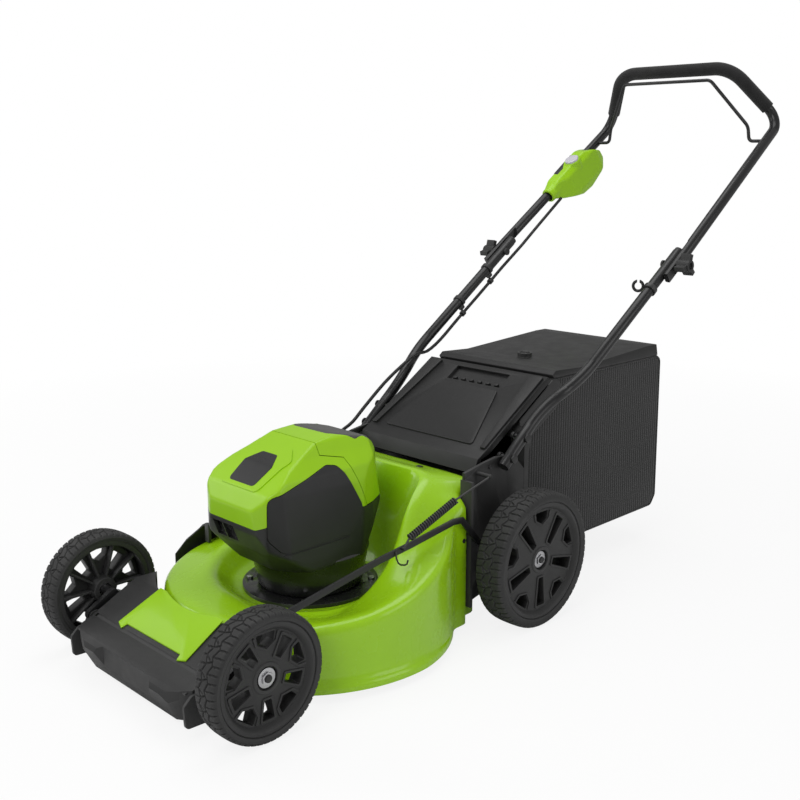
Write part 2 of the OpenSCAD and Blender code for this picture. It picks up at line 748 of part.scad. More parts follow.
module deck_bolts() place() color(steel)
    at_ring_bolts() translate([0, 0, motor_seat_z]) {
        translate([0, 0, -deck_t - 6]) cylinder(r = ring_bolt_r - weld_gap, h = deck_t + 15);
        translate([0, 0, ring_t + weld_gap]) cylinder(r = 6, h = 4, $fn = 6);
        translate([0, 0, -deck_t - 4]) cylinder(r = 6, h = 4 - weld_gap, $fn = 6);
    }

module cable_lower() place() color(black) cable(cable_low_route, cable_d / 2);
module cable_upper() place() color(black) cable(cable_up_route, cable_d / 2);
module cable_fold() place() color(black) cable(cable_fold_route, cable_d / 2);

// A clip around the leg with an eye for the cable; s runs from the bend to the top of the tube
function leg_point(s) = lower_bend + s * (lower_top - lower_bend);
module clip_at(s) {
    c = leg_point(s);
    eye = c + clip_eye;
    d = unit(lower_top - lower_bend);
    mirror([1, 0, 0]) difference() {
        union() {
            rod(c, c + clip_w * d, tube_r + 2.5);
            rod(eye, eye + clip_w * d, cable_d / 2 + 3);
            rod((c + eye) / 2, (c + eye) / 2 + clip_w * d, 7);
        }
        rod(c - 40 * d, c + 50 * d, tube_r + side_gap / 3);
        rod(eye - 40 * d, eye + 50 * d, cable_d / 2 + 2 * side_gap);
    }
}
module cable_clips() place() color(black) {
    for (s = clip_places) clip_at(s);
    // Plugs in the open ends of the lower tubes
    plug_dir = unit(lower_top - lower_bend);
    both() rod(lower_top + 0.05 * plug_dir, lower_top + 7 * plug_dir, tube_r - 1);
}

module rope_guide() place() color(black) {
    c = leg_point(guide_place);
    d = unit(lower_top - lower_bend);
    difference() {
        rod(c, c + 10 * d, tube_r + 3);
        rod(c - 20 * d, c + 30 * d, tube_r + side_gap / 3);
    }
    // Open ring that a rope is threaded through
    translate(c + [-tube_r - 14, 0, 8]) rotate([90, 0, 20]) difference() {
        rotate_extrude() translate([10, 0]) circle(3);
        translate([-3, 0, -5]) cube([6, 20, 10]);
    }
}

module flap_hinge_rod() place() color(steel)
    cross_rod(-plate_out - 2, plate_out + 2, flap_pin, hinge_rod_d / 2 - weld_gap);

module side_flap_hinge() place() color(steel) {
    translate([door_pin.x, door_front - door_ear, door_pin.y]) rotate([-90, 0, 0])
        cylinder(r = door_pin_r, h = door_rear - door_front + 2 * door_ear);
    // Ears that stand on the crest of the deck
    for (y = [door_front - door_ear - side_gap, door_rear + side_gap]) {
        turn = -90 - atan((y + door_ear / 2 - shaft_y) / -door_pin.x);
        seat = deck_top(turn, -door_pin.x + 4 - ear_len) - ear_drop;
        translate([door_pin.x - 4, y, seat]) cube([ear_len, door_ear, door_pin.y + 5 - seat]);
    }
}

module crank(bar_half, arm_in, arm_out, wheel_in, hub_end, pivot, wheel) both() {
    cross_rod(-1, bar_half, pivot, axle_r);
    strap(arm_in, arm_out, [pivot, wheel], 2 * (axle_r + arm_wall));
    cross_rod(arm_in, wheel_in + hub_end + nut_gap + nut_h + 2, wheel, axle_r);
    cross_rod(arm_out - 1, wheel_in + bearing_in, wheel, axle_r + 2.5);
}

module front_axle() place() color(black) {
    crank(front_arm_out, front_bar_half, front_arm_out, front_wheel_in, front_hub_end, front_pivot,
        front_hub);
    strap(front_bar_half, front_arm_out, [front_pivot, front_link], 16);
    cross_rod(front_arm_out - 1, link_out + 2, front_link, link_pin_r);
}
module rear_axle() place() color(black) {
    crank(rear_arm_out, rear_arm_in, rear_arm_out, rear_wheel_in, rear_hub_end, rear_pivot, rear_hub);
    strap(rear_arm_in, rear_arm_out, [rear_pivot, rear_link], 16);
    cross_rod(link_in - 2, rear_arm_in + 1, rear_link, link_pin_r);
}

module bearing_pair(w_in, hub_end, p) for (x = [w_in + bearing_in, w_in + hub_end - bearing_w]) difference() {
    cross_rod(x, x + bearing_w, p, bearing_d / 2);
    cross_rod(x - 1, x + bearing_w + 1, p, axle_r);
}
module front_bearings() place() color(steel) both() bearing_pair(front_wheel_in, front_hub_end, front_hub);
module rear_bearings() place() color(steel) both() bearing_pair(rear_wheel_in, rear_hub_end, rear_hub);

module hub_nut(w_in, hub_end, p) difference() {
    x = w_in + hub_end + nut_gap;
    union() {
        cross_rod(x, x + nut_flange_t, p, nut_flange_r);
        translate([x, p.x, p.y]) rotate([0, 90, 0]) cylinder(r = 10.5, h = nut_h, $fn = 6);
    }
    cross_rod(x - 1, x + 20, p, axle_r);
}
module front_hub_nuts() place() color(steel) both() hub_nut(front_wheel_in, front_hub_end, front_hub);
module rear_hub_nuts() place() color(steel) both() hub_nut(rear_wheel_in, rear_hub_end, rear_hub);

module height_lever() place() color(black) {
    tip = rear_pivot + lever_len * [cos(96), sin(96)];
    difference() {
        strap(-rear_arm_out, -rear_arm_in, [rear_pivot + [0, 10], tip], 18);
        strap(-rear_arm_out - 1, -rear_arm_in + 1, [rear_pivot, rear_hub],
            2 * (axle_r + arm_wall + run_fit));
    }
    rod([-rear_arm_in - 4, tip.x, tip.y], [-rear_arm_in - 4, tip.x - 4, tip.y + 16], 8);
    translate([-rear_arm_in - 4, tip.x - 4, tip.y + 16]) sphere(9);
}

// Link rod that makes both cranks turn together; its rear eye is the loose one
link_route = [front_link, [front_y - 8, 147], [-531, 164], [-333, 198], [-264, 206], [-160, 221],
    [-138, 219], [-98, 172], rear_link];
module link_rod() place() color(black) {
    difference() {
        strap(link_in, link_out, link_route, 11);
        cross_rod(link_in - 1, link_out + 1, front_link, link_pin_r + run_fit);
        cross_rod(link_in - 1, link_out + 1, rear_link, link_pin_r + rear_eye_slack);
    }
    // Lug for the assist spring
    cross_rod(link_out - 0.5, spring_x + 3, spring_lug, 3);
}
module assist_spring() place() color("dimgray") {
    at_x = function(p) [spring_x, p.x, p.y];
    rod(at_x(spring_low), at_x(spring_high), spring_r);
    rod(at_x(spring_lug + [3.4, 2.4]), at_x(spring_low + [2, 1]), wire_r);
    rod(at_x(spring_high - [2, 1]), at_x(spring_hook - [4.5, 4]), wire_r);
}

// Wheels: axis along +X from the inner face, drawn at the centre plane
module wheel_at(w_in, p) translate([w_in, p.x, p.y]) rotate([0, 90, 0]) children();

module wheel_rim(tyre_r, tread, w, hub_end) difference() {
    rim_r = tyre_r - tread;
    bore = bearing_d / 2 + run_fit;
    rotate_extrude($fn = 96) polygon([[bore, hub_start], [hub_r, hub_start], [hub_r, w * 0.42],
        [rim_r - 9, w * 0.5], [rim_r - 9, 4], [rim_r - 0.1, 4], [rim_r - 0.1, w - 4], [rim_r - 8, w - 3],
        [rim_r - 14, w - 8], [hub_r + 8, w - 11], [hub_r, w - 9], [nut_flange_r + 2, w - 9],
        [nut_flange_r + 2, hub_end], [bore, hub_end]]);
    for (i = [0 : window_n - 1]) rotate(i * 360 / window_n) {
        // Long radial window
        linear_extrude(w + 1) polygon([[hub_r + 14, -6], [rim_r - 22, -11], [rim_r - 22, 11],
            [hub_r + 14, 6]]);
        // Short outer window between two long ones
        rotate(180 / window_n) linear_extrude(w + 1) polygon([[rim_r - 40, 0], [rim_r - 32, -14],
            [rim_r - 18, -17], [rim_r - 18, 17], [rim_r - 32, 14]]);
    }
}
module tyre(tyre_r, tread, w) rotate_extrude($fn = 96) {
    rim_r = tyre_r - tread;
    polygon([[rim_r, 3], [rim_r + 5, 0], [tyre_r - 7, 0.5], [tyre_r - 1.5, 5], [tyre_r, w * 0.3],
        [tyre_r, w * 0.7], [tyre_r - 1.5, w - 5], [tyre_r - 7, w - 0.5], [rim_r + 5, w], [rim_r, w - 3]]);
}
module front_rim() wheel_at(front_wheel_in, front_hub)
    wheel_rim(front_wheel_z, front_tread_t, front_tyre_w, front_hub_end);
module front_tyre() wheel_at(front_wheel_in, front_hub)
    tyre(front_wheel_z, front_tread_t, front_tyre_w);
module rear_rim() wheel_at(rear_wheel_in, rear_hub)
    wheel_rim(rear_wheel_z, rear_tread_t, rear_tyre_w, rear_hub_end);
module rear_tyre() wheel_at(rear_wheel_in, rear_hub) tyre(rear_wheel_z, rear_tread_t, rear_tyre_w);
module front_left_rim() place() color(black) front_rim();
module front_right_rim() place() color(black) mirror([1, 0, 0]) front_rim();
module front_left_tyre() place() color("dimgray") front_tyre();
module front_right_tyre() place() color("dimgray") mirror([1, 0, 0]) front_tyre();
module rear_left_rim() place() color(black) rear_rim();
module rear_right_rim() place() color(black) mirror([1, 0, 0]) rear_rim();
module rear_left_tyre() place() color("dimgray") rear_tyre();
module rear_right_tyre() place() color("dimgray") mirror([1, 0, 0]) rear_tyre();

// Motor and blade
module motor_rotor() place() translate([0, shaft_y, 0]) color(steel) {
    shaft_low = blade_z + blade_t + carrier_t + 0.5;
    translate([0, 0, shaft_low]) cylinder(r = shaft_d / 2, h = top_ball_z + ball_w / 2 + 3 - shaft_low);
    translate([0, 0, stack_low]) cylinder(r = rotor_r, h = stack_high - stack_low);
}
module blade_carrier() place() translate([0, shaft_y, 0]) color("silver") difference() {
    union() {
        translate([0, 0, blade_z + blade_t]) cylinder(r = 30, h = carrier_t);
        translate([0, 0, blade_z + blade_t]) cylinder(r = shaft_d / 2 + 7, h = 34);
    }
    translate([0, 0, blade_z + blade_t + carrier_t]) cylinder(r = shaft_d / 2, h = 60);
    cylinder(r = blade_bolt_r, h = 100);
    for (x = [-blade_peg_x, blade_peg_x]) translate([x, 0, blade_z - 1]) cylinder(r = blade_peg_r, h = 50);
}
module blade() place() translate([0, shaft_y, blade_z]) color("dimgray") difference() {
    union() {
        translate([-blade_len / 2, -blade_w / 2, 0]) cube([blade_len, blade_w, blade_t]);
        // Raised wings that lift the clippings
        for (turn = [0, 180]) rotate(turn) translate([blade_len / 2 - 86, -blade_w / 2, 0])
            rotate([90, 0, 90]) linear_extrude(82) polygon([[0, 0], [-12, 11], [-12, 14], [4, blade_t]]);
    }
    // Ground cutting edges
    for (turn = [0, 180]) rotate(turn) translate([blade_len / 2 - 120, blade_w / 2, -1])
        rotate([30, 0, 0]) cube([130, 12, 20]);
    translate([0, 0, -1]) cylinder(r = blade_bolt_r, h = 10);
    for (x = [-blade_peg_x, blade_peg_x]) translate([x, 0, -1]) cylinder(r = blade_peg_r, h = 10);
}
module blade_bolt() place() translate([0, shaft_y, 0]) color(steel) {
    translate([0, 0, blade_z - 10]) cylinder(r = 9, h = 7.5, $fn = 6);
    translate([0, 0, blade_z - 2.5]) cylinder(r = 15, h = 2.5);
    translate([0, 0, blade_z - 3]) cylinder(r = blade_bolt_r - weld_gap, h = blade_t + 9.4);
}

// Rear flap over the bag mouth: sloped lid with a front apron and a finger recess
module rear_flap() place() color(black) difference() {
    union() {
        side_slab(-flap_half, flap_half, [flap_crease, flap_rear, flap_rear - flap_t * flap_up,
            flap_crease + 4 * flap_dir - flap_t * flap_up, [-36, 299], [-50, 277], [-58, 277], [-46, 302]]);
        // Barrels on the hinge rod
        for (x = flap_barrels) {
            cross_rod(x, x + flap_barrel_w, flap_pin, flap_barrel_r);
            side_slab(x, x + flap_barrel_w, [flap_pin - [4, 0], flap_pin + [4, 0], flap_pin + [14, 14],
                flap_pin + [0, 14]]);
        }
    }
    cross_rod(-200, 200, flap_pin, hinge_rod_d / 2 + run_fit);
    // Hollow underside
    side_slab(-flap_half + 5, flap_half - 5, [flap_crease + 24 * flap_dir - 4 * flap_up,
        flap_rear - 62 * flap_dir - 4 * flap_up, flap_rear - 62 * flap_dir - 20 * flap_up,
        flap_crease + 24 * flap_dir - 20 * flap_up]);
    // Finger recess at the upper end
    side_slab(-70, 70, [flap_rear - 12 * flap_dir + 2 * flap_up, flap_rear - 12 * flap_dir - 7 * flap_up,
        flap_rear - 48 * flap_dir - 7 * flap_up, flap_rear - 52 * flap_dir + 2 * flap_up]);
}

module side_flap() place() color(black) difference() {
    union() {
        intersection() {
            translate([0, -200, 0]) rotate([90, 0, 0]) linear_extrude(300) polygon(concat(door_section,
                [for (i = [3 : -1 : 0]) door_section[i] + [door_t * 0.9, i < 3 ? -door_t : 0]]));
            side_slab(-deck_r - 42, -deck_r + 58, door_outline);
        }
        translate([door_pin.x, door_rear, door_pin.y]) rotate([90, 0, 0])
            cylinder(r = door_barrel_r, h = door_rear - door_front);
    }
    translate([door_pin.x, door_rear + 1, door_pin.y]) rotate([90, 0, 0])
        cylinder(r = door_pin_r + run_fit, h = door_rear - door_front + 2);
}

// Upper handle: two legs with flattened feet, angled grips and a crossbar
function path_both_sides(half) = concat(half,
    [for (i = [len(half) - 1 : -1 : 0]) [-half[i].x, half[i].y, half[i].z]]);
grip_start = upper_bend + (tube_ease + 1) * unit(grip_bend - upper_bend);
module upper_tube() bent_rod(path_both_sides([upper_foot, upper_bend, grip_bend]), tube_r, tube_ease);
module handle_upper() place() color(black) difference() {
    upper_tube();
    // Feet flattened beside the lower tubes, with the fold bolt through them
    both() translate([upper_flat_x - 30, upper_foot.y - 40, 500])
        cube([30, flat_end_y - upper_foot.y + 40, 300]);
    both() translate([upper_flat_x + flat_t, upper_foot.y - 40, 500])
        cube([30, fold_pin.x - upper_foot.y + 40, 170]);
    both() cross_rod(upper_flat_x + flat_t, 300, fold_pin, knob_reach + 2);
    cross_rod(-300, 300, fold_pin, fold_bolt_d / 2 + run_fit);
    both() cross_rod(upper_bend.x - tube_r - 5, upper_bend.x - 2, bail_pin, bail_d / 2 + run_fit);
}
module foam_grip() place() color(black) difference() {
    bent_rod(path_both_sides([grip_start, grip_bend]), grip_d / 2, tube_ease);
    bent_rod(path_both_sides([2 * grip_start - grip_bend, grip_bend]), tube_r + run_fit, tube_ease);
}

module switch_box() place() color(lime) difference() {
    union() {
        side_slab(box_x - box_half, box_x + box_half, box_side);
        rod_along_leg(622, 660, tube_r + 5);
    }
    // The leg and its button pass through the shell
    mirror([1, 0, 0]) rod(upper_foot, upper_bend, tube_r + 0.02);
    translate(button_at) rotate([button_tilt, 0, 0])
        cylinder(r = button_r + side_gap, h = 60, center = true);
    cable_dir = unit(cable_up_route[1] - cable_up_route[0]);
    rod(cable_up_route[0] + 30 * cable_dir, cable_up_route[0] - 6 * cable_dir, cable_d / 2 + run_fit);
}
function upper_leg_at(y) = upper_foot
    + (y - upper_foot.y) / (upper_bend.y - upper_foot.y) * (upper_bend - upper_foot);
module rod_along_leg(y0, y1, r) mirror([1, 0, 0]) rod(upper_leg_at(y0), upper_leg_at(y1), r);
module start_button() place() color("lightgray") translate(button_at) rotate([button_tilt, 0, 0]) {
    translate([0, 0, -4]) cylinder(r = button_r, h = 12, $fn = 6);
    translate([0, 0, -5]) cylinder(r = button_r - 4, h = 3);
}

module bail() place() color(black)
    bent_rod(path_both_sides(bail_path), bail_d / 2, bail_ease);

// Wing knob with its bolt through both tubes
module fold_knob() {
    cross_rod(lower_half - tube_r - 5, knob_base_x + 2, fold_pin, fold_bolt_d / 2);
    cross_rod(lower_half - tube_r - 5, lower_half - tube_r - side_gap, fold_pin, 8);
    difference() {
        union() {
            cross_rod(upper_flat_x + flat_t + side_gap, knob_base_x + knob_len, fold_pin, knob_reach / 2);
            for (i = [0 : 2]) translate([knob_base_x - 4, fold_pin.x, fold_pin.y])
                rotate([-15 + i * 120, 0, 0]) rotate([0, 90, 0])
                    translate([-knob_reach, -5, 0]) cube([knob_reach - 2, 10, knob_len + 2]);
        }
        cross_rod(knob_base_x + knob_len - 4, knob_base_x + knob_len + 5, fold_pin, 7);
    }
}
module fold_knob_left() place() color(black) fold_knob();
module fold_knob_right() place() color(black) mirror([1, 0, 0]) fold_knob();

// Grass bag: fabric sack, hard top cover and the frame that hooks on the rear body
bag_mouth = bag_front + bag_plate_t;
bag_side = [[bag_mouth, 128], [bag_front + 70, bag_low + 4], [bag_end - 16, bag_low + 8],
    [bag_end, bag_low + 30], [bag_end - 6, bag_lid_z - 10], [bag_end - 20, bag_lid_z],
    [bag_cover_front, bag_lid_z], [bag_mouth, 352]];
bag_inside = [[bag_front - 5, 140], [bag_mouth, 134], [bag_front + 71, bag_low + 4 + bag_t],
    [bag_end - 18, bag_low + 8 + bag_t], [bag_end - bag_t, bag_low + 32],
    [bag_end - 6 - bag_t, bag_lid_z - 12], [bag_end - 22, bag_lid_z - bag_t],
    [bag_cover_front + 1, bag_lid_z - bag_t], [bag_mouth, 348], [bag_front - 5, 345]];
module bag_fabric() place() color("dimgray") difference() {
    side_slab(-bag_half, bag_half, bag_side);
    side_slab(-bag_half + bag_t, bag_half - bag_t, bag_inside);
}
module bag_cover() place() color(black) {
    cover_z = bag_lid_z + side_gap;
    side_slab(-bag_half - 1, bag_half + 1, [[bag_cover_front + side_gap, cover_z], [bag_end - 20, cover_z],
        [bag_end - 26, bag_top + 8], [bag_end - 60, bag_top + 8], [262, bag_top - 6], [182, bag_top - 2],
        [bag_cover_front - 4, bag_top - 10]]);
    translate([0, 273, bag_top - 7]) cylinder(r = 15, h = 9);
}
module bag_frame() place() color(black) difference() {
    side_slab(-plate_out, plate_out, [[bag_front, 110], [bag_mouth - side_gap, 110],
        [bag_mouth - side_gap, 346], [bag_front, 338]]);
    side_slab(-bag_half + 8, bag_half - 8, [[bag_front - 5, 150], [bag_front + 20, 150],
        [bag_front + 20, 322], [bag_front - 5, 322]]);
}

deck_shell();
rear_body();
front_bumper();
badge_panel();
motor_ring();
housing_lower();
housing_cover();
side_panels();
battery_tray();
battery_pack();
safety_key();
motor_stator();
control_board();
motor_bearings();
axle_bushes();
lower_tube_left();
lower_tube_right();
handle_bolts();
deck_bolts();
cable_lower();
cable_clips();
rope_guide();
flap_hinge_rod();
side_flap_hinge();
front_axle();
front_bearings();
front_hub_nuts();
rear_axle();
rear_bearings();
rear_hub_nuts();
height_lever();
link_rod();
assist_spring();
front_left_rim();
front_left_tyre();
front_right_rim();
front_right_tyre();
rear_left_rim();
rear_left_tyre();
rear_right_rim();
rear_right_tyre();
motor_rotor();
blade_carrier();
blade();
blade_bolt();
rear_flap();
battery_hatch();
side_flap();
handle_upper();
foam_grip();
switch_box();
start_button();
bail();
cable_upper();
cable_fold();
fold_knob_left();
fold_knob_right();
bag_fabric();
bag_cover();
bag_frame();
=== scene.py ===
"""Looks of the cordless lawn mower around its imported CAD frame. Metres, front towards -Y, +Z up.

Outlines and sizes are in mm from the rear axle's plane, as in part.scad, and at() turns them into the
frame's metres.
"""
import math

import bmesh
import bpy
import numpy as np
from mathutils import Matrix, Vector


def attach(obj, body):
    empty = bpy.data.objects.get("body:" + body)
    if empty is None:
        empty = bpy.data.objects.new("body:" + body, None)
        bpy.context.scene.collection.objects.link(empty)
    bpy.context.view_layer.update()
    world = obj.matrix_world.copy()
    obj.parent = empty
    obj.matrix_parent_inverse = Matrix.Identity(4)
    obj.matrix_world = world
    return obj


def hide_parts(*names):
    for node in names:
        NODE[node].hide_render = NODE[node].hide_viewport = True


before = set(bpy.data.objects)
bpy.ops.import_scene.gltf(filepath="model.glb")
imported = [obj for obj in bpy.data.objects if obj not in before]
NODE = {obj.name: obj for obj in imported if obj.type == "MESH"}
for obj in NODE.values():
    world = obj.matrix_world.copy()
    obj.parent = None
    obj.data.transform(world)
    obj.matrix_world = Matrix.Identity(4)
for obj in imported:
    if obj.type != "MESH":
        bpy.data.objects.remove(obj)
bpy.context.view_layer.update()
AXLE_Y = -81.3     # the rear axle's place along Y in the frame, mm


def at(x, y, z):
    """A point given in mm from the rear axle's plane, as metres in the frame."""
    return Vector((x, y + AXLE_Y, z)) / 1000


# ---------------------------------------------------------------- camera
FOCAL, SENSOR = 48.69, 36
AZIMUTH, PITCH, ROLL = math.radians(45.813), math.radians(12.674), math.radians(-0.07)
EYE = (1.4217, -1.4743 + AXLE_Y / 1000, 0.8412)

camera_data = bpy.data.cameras.new("view")
camera_data.lens, camera_data.sensor_width = FOCAL, SENSOR
camera = bpy.data.objects.new("view_camera", camera_data)
bpy.context.scene.collection.objects.link(camera)
back = Vector((math.sin(AZIMUTH) * math.cos(PITCH), -math.cos(AZIMUTH) * math.cos(PITCH),
               math.sin(PITCH)))
camera.location = EYE
camera.rotation_mode = "QUATERNION"
camera.rotation_quaternion = (-back).to_track_quat("-Z", "Y") @ Matrix.Rotation(ROLL, 3, "Z").to_quaternion()
bpy.context.scene.camera = camera


# ---------------------------------------------------------------- materials
def lin(rgb):
    """A display colour of 0 to 255 as linear values."""
    return tuple(((v / 255 + 0.055) / 1.055) ** 2.4 if v > 10 else v / 255 / 12.92 for v in rgb)


class Tree:
    """Short calls that build a node tree."""

    def __init__(self, tree):
        self.tree = tree

    def node(self, kind, **values):
        n = self.tree.nodes.new(kind)
        for key, value in values.items():
            setattr(n, key, value)
        return n

    def link(self, a, b):
        self.tree.links.new(a, b)

    def feed(self, socket, value):
        """A constant or another node's output into an input."""
        if isinstance(value, bpy.types.NodeSocket):
            self.link(value, socket)
        else:
            socket.default_value = value

    def set(self, n, **sockets):
        """Feeds inputs by name, with _ for a space."""
        for key, value in sockets.items():
            self.feed(n.inputs[key.replace("_", " ")], value)
        return n

    def ramp(self, value, low, high, to_low, to_high):
        n = self.set(self.node("ShaderNodeMapRange"), Value=value, From_Min=low, From_Max=high, To_Min=to_low,
                     To_Max=to_high)
        return n.outputs["Result"]

    def math(self, operation, a, b=0.0, c=0.0):
        n = self.node("ShaderNodeMath", operation=operation)
        for socket, value in zip(n.inputs, (a, b, c)):
            self.feed(socket, value)
        return n.outputs[0]

    def seen(self):
        """1 for the camera's own rays, so that the background can be white without lighting the object."""
        path = self.node("ShaderNodeLightPath")
        return self.math("MAXIMUM", path.outputs["Is Camera Ray"], path.outputs["Is Transmission Ray"])


class Shader(Tree):
    """A new material around one Principled shader."""

    def __init__(self, name):
        self.mat = bpy.data.materials.new(name)
        self.mat.use_nodes = True
        super().__init__(self.mat.node_tree)
        self.main = self.tree.nodes["Principled BSDF"]
        self.coords = self.node("ShaderNodeTexCoord").outputs["Object"]

    def noise(self, scale, detail=3.0):
        n = self.node("ShaderNodeTexNoise")
        self.set(n, Vector=self.coords, Scale=scale, Detail=detail, Roughness=0.55)
        return n.outputs["Fac"]

    def mix(self, fac, a, b):
        """Colour a where fac is 0, b where it is 1; each is a socket or a linear colour."""
        n = self.node("ShaderNodeMix", data_type="RGBA")
        self.feed(n.inputs[0], fac)
        for socket, value in ((n.inputs[6], a), (n.inputs[7], b)):
            self.feed(socket, (*value, 1) if isinstance(value, tuple) else value)
        return n.outputs[2]

    def bump(self, height, distance, strength=1.0):
        n = self.set(self.node("ShaderNodeBump"), Height=height, Distance=distance, Strength=strength)
        return n.outputs["Normal"]


def surface(name, rgb, rough, mottle=0.05, mottle_scale=9.0, grain=(700.0, 0.00008), wear=0.12,
            coat=0.0, metallic=0.0, sheen=0.0, spec=0.5, dust=0.0):
    """Moulded, painted or metal surface: mottled colour, lighter worn edges, fine grain in bump and gloss.

    grain is the bump's noise scale and depth in metres; wear and dust are how far edges and tops turn paler.
    """
    s = Shader(name)
    base = lin(rgb)
    dark = tuple(v * (1 - mottle) for v in base)
    light = tuple(min(1, v * (1 + mottle)) for v in base)
    colour = s.mix(s.ramp(s.noise(mottle_scale), 0.35, 0.65, 0, 1), dark, light)
    if wear:
        edge = s.ramp(s.node("ShaderNodeNewGeometry").outputs["Pointiness"], 0.52, 0.6, 0, wear)
        goal, share = (0.45, 0.5) if max(base) < 0.3 else (0.9, 0.3)
        colour = s.mix(edge, colour, tuple(v + (goal - v) * share for v in base))
    if dust:
        up = s.node("ShaderNodeSeparateXYZ")
        s.link(s.node("ShaderNodeNewGeometry").outputs["Normal"], up.inputs[0])
        film = s.math("MULTIPLY", s.ramp(up.outputs["Z"], 0.3, 1, 0, dust),
                      s.ramp(s.noise(40.0, 5), 0.4, 0.7, 0, 1))
        colour = s.mix(film, colour, (0.35, 0.34, 0.32))
    s.link(colour, s.main.inputs["Base Color"])
    s.link(s.ramp(s.noise(35.0, 4), 0.3, 0.7, max(0.03, rough - 0.05), rough + 0.05),
           s.main.inputs["Roughness"])
    s.link(s.bump(s.noise(grain[0], 2), grain[1]), s.main.inputs["Normal"])
    s.set(s.main, Metallic=metallic, Specular_IOR_Level=spec)
    if coat:
        s.set(s.main, Coat_Weight=coat, Coat_Roughness=0.06)
    if sheen:
        s.set(s.main, Sheen_Weight=sheen, Sheen_Roughness=0.5)
    return s.mat


LIME = (148, 198, 18)
FINISHES = {
    "lime_paint": dict(rgb=LIME, rough=0.26, mottle=0.03, mottle_scale=5, grain=(260.0, 0.00005), wear=0,
                       coat=0.35, spec=0.35),
    "lime_plastic": dict(rgb=LIME, rough=0.34, mottle=0.03, mottle_scale=6, grain=(900.0, 0.00004), wear=0,
                         coat=0.1, spec=0.3),
    "black_plastic": dict(rgb=(38, 38, 38), rough=0.5, mottle=0.06, mottle_scale=12, grain=(1500.0, 0.00009),
                          spec=0.35),
    "bumper_black": dict(rgb=(48, 48, 48), rough=0.55, mottle_scale=12, grain=(1300.0, 0.00012), wear=0.08,
                         spec=0.3),
    "panel_plastic": dict(rgb=(34, 34, 35), rough=0.42, mottle=0.04, mottle_scale=10, grain=(1900.0, 0.00007),
                          wear=0.06, spec=0.4),
    "gloss_black": dict(rgb=(28, 28, 29), rough=0.25, mottle_scale=8, grain=(700.0, 0.00003), wear=0.05,
                        coat=0.2),
    "label_black": dict(rgb=(22, 22, 23), rough=0.3, mottle=0.04, mottle_scale=10, grain=(900.0, 0.00003),
                        wear=0, coat=0.2),
    "cap_grey": dict(rgb=(78, 78, 76), rough=0.5, mottle=0.04, mottle_scale=10, grain=(1500.0, 0.00006), wear=0,
                     spec=0.3),
    "rim_plastic": dict(rgb=(38, 38, 38), rough=0.5, mottle_scale=14, grain=(1500.0, 0.00008), spec=0.4),
    "tyre_rubber": dict(rgb=(46, 46, 46), rough=0.65, mottle=0.07, mottle_scale=16, grain=(900.0, 0.00012),
                        wear=0.2, spec=0.3, dust=0.03),
    "foam": dict(rgb=(38, 38, 38), rough=0.85, mottle=0.1, mottle_scale=60, grain=(2200.0, 0.0003), wear=0,
                 sheen=0.15, spec=0.15),
    "tube": dict(rgb=(17, 17, 18), rough=0.34, mottle_scale=9, grain=(1500.0, 0.00005), wear=0.05, coat=0.1,
                 spec=0.4),
    "black_steel": dict(rgb=(26, 26, 27), rough=0.4, mottle=0.07, mottle_scale=18, grain=(1200.0, 0.00008),
                        spec=0.4),
    "dark_wire": dict(rgb=(34, 34, 34), rough=0.38, mottle_scale=30, grain=(900.0, 0.00004), wear=0.1,
                      spec=0.4),
    "cable": dict(rgb=(24, 24, 24), rough=0.5, mottle=0.06, mottle_scale=40, grain=(1800.0, 0.0001), wear=0,
                  spec=0.35),
    "zinc": dict(rgb=(176, 176, 178), rough=0.3, mottle=0.06, mottle_scale=60, grain=(1500.0, 0.00005),
                 wear=0.2, metallic=1.0),
    "bearing": dict(rgb=(150, 150, 152), rough=0.25, mottle_scale=60, grain=(1500.0, 0.00004), wear=0.2,
                    metallic=1.0),
    "blade": dict(rgb=(120, 122, 124), rough=0.4, mottle=0.1, mottle_scale=25, grain=(500.0, 0.00012), wear=0.4,
                  metallic=1.0),
    "copper": dict(rgb=(150, 84, 48), rough=0.4, mottle=0.15, mottle_scale=80, grain=(400.0, 0.0002), wear=0.2,
                   metallic=1.0),
    "alloy": dict(rgb=(150, 150, 148), rough=0.45, mottle=0.06, mottle_scale=30, grain=(700.0, 0.00015),
                  wear=0.2, metallic=1.0),
    "board": dict(rgb=(20, 84, 48), rough=0.4, mottle=0.1, mottle_scale=60, grain=(900.0, 0.0001), wear=0.1),
    "button": dict(rgb=(190, 188, 196), rough=0.35, mottle=0.03, mottle_scale=20, grain=(1200.0, 0.00004),
                   wear=0.1),
    "key_yellow": dict(rgb=(214, 178, 30), rough=0.4, mottle_scale=20, grain=(900.0, 0.00006), wear=0.1),
    "bag_lid": dict(rgb=(32, 32, 32), rough=0.5, mottle_scale=12, grain=(1300.0, 0.0001), wear=0.05, spec=0.35),
    "cheek_black": dict(rgb=(36, 36, 36), rough=0.4, mottle=0.04, mottle_scale=12, grain=(1500.0, 0.00005),
                        wear=0.05, spec=0.4),
    "piping": dict(rgb=(38, 38, 38), rough=0.7, mottle=0.1, mottle_scale=90, grain=(2500.0, 0.0002), wear=0,
                   sheen=0.2, spec=0.2),
    "flap": dict(rgb=(25, 25, 25), rough=0.45, mottle_scale=10, grain=(1400.0, 0.0001), wear=0.06, spec=0.35),
}
M = {name: surface(name, **values) for name, values in FINISHES.items()}


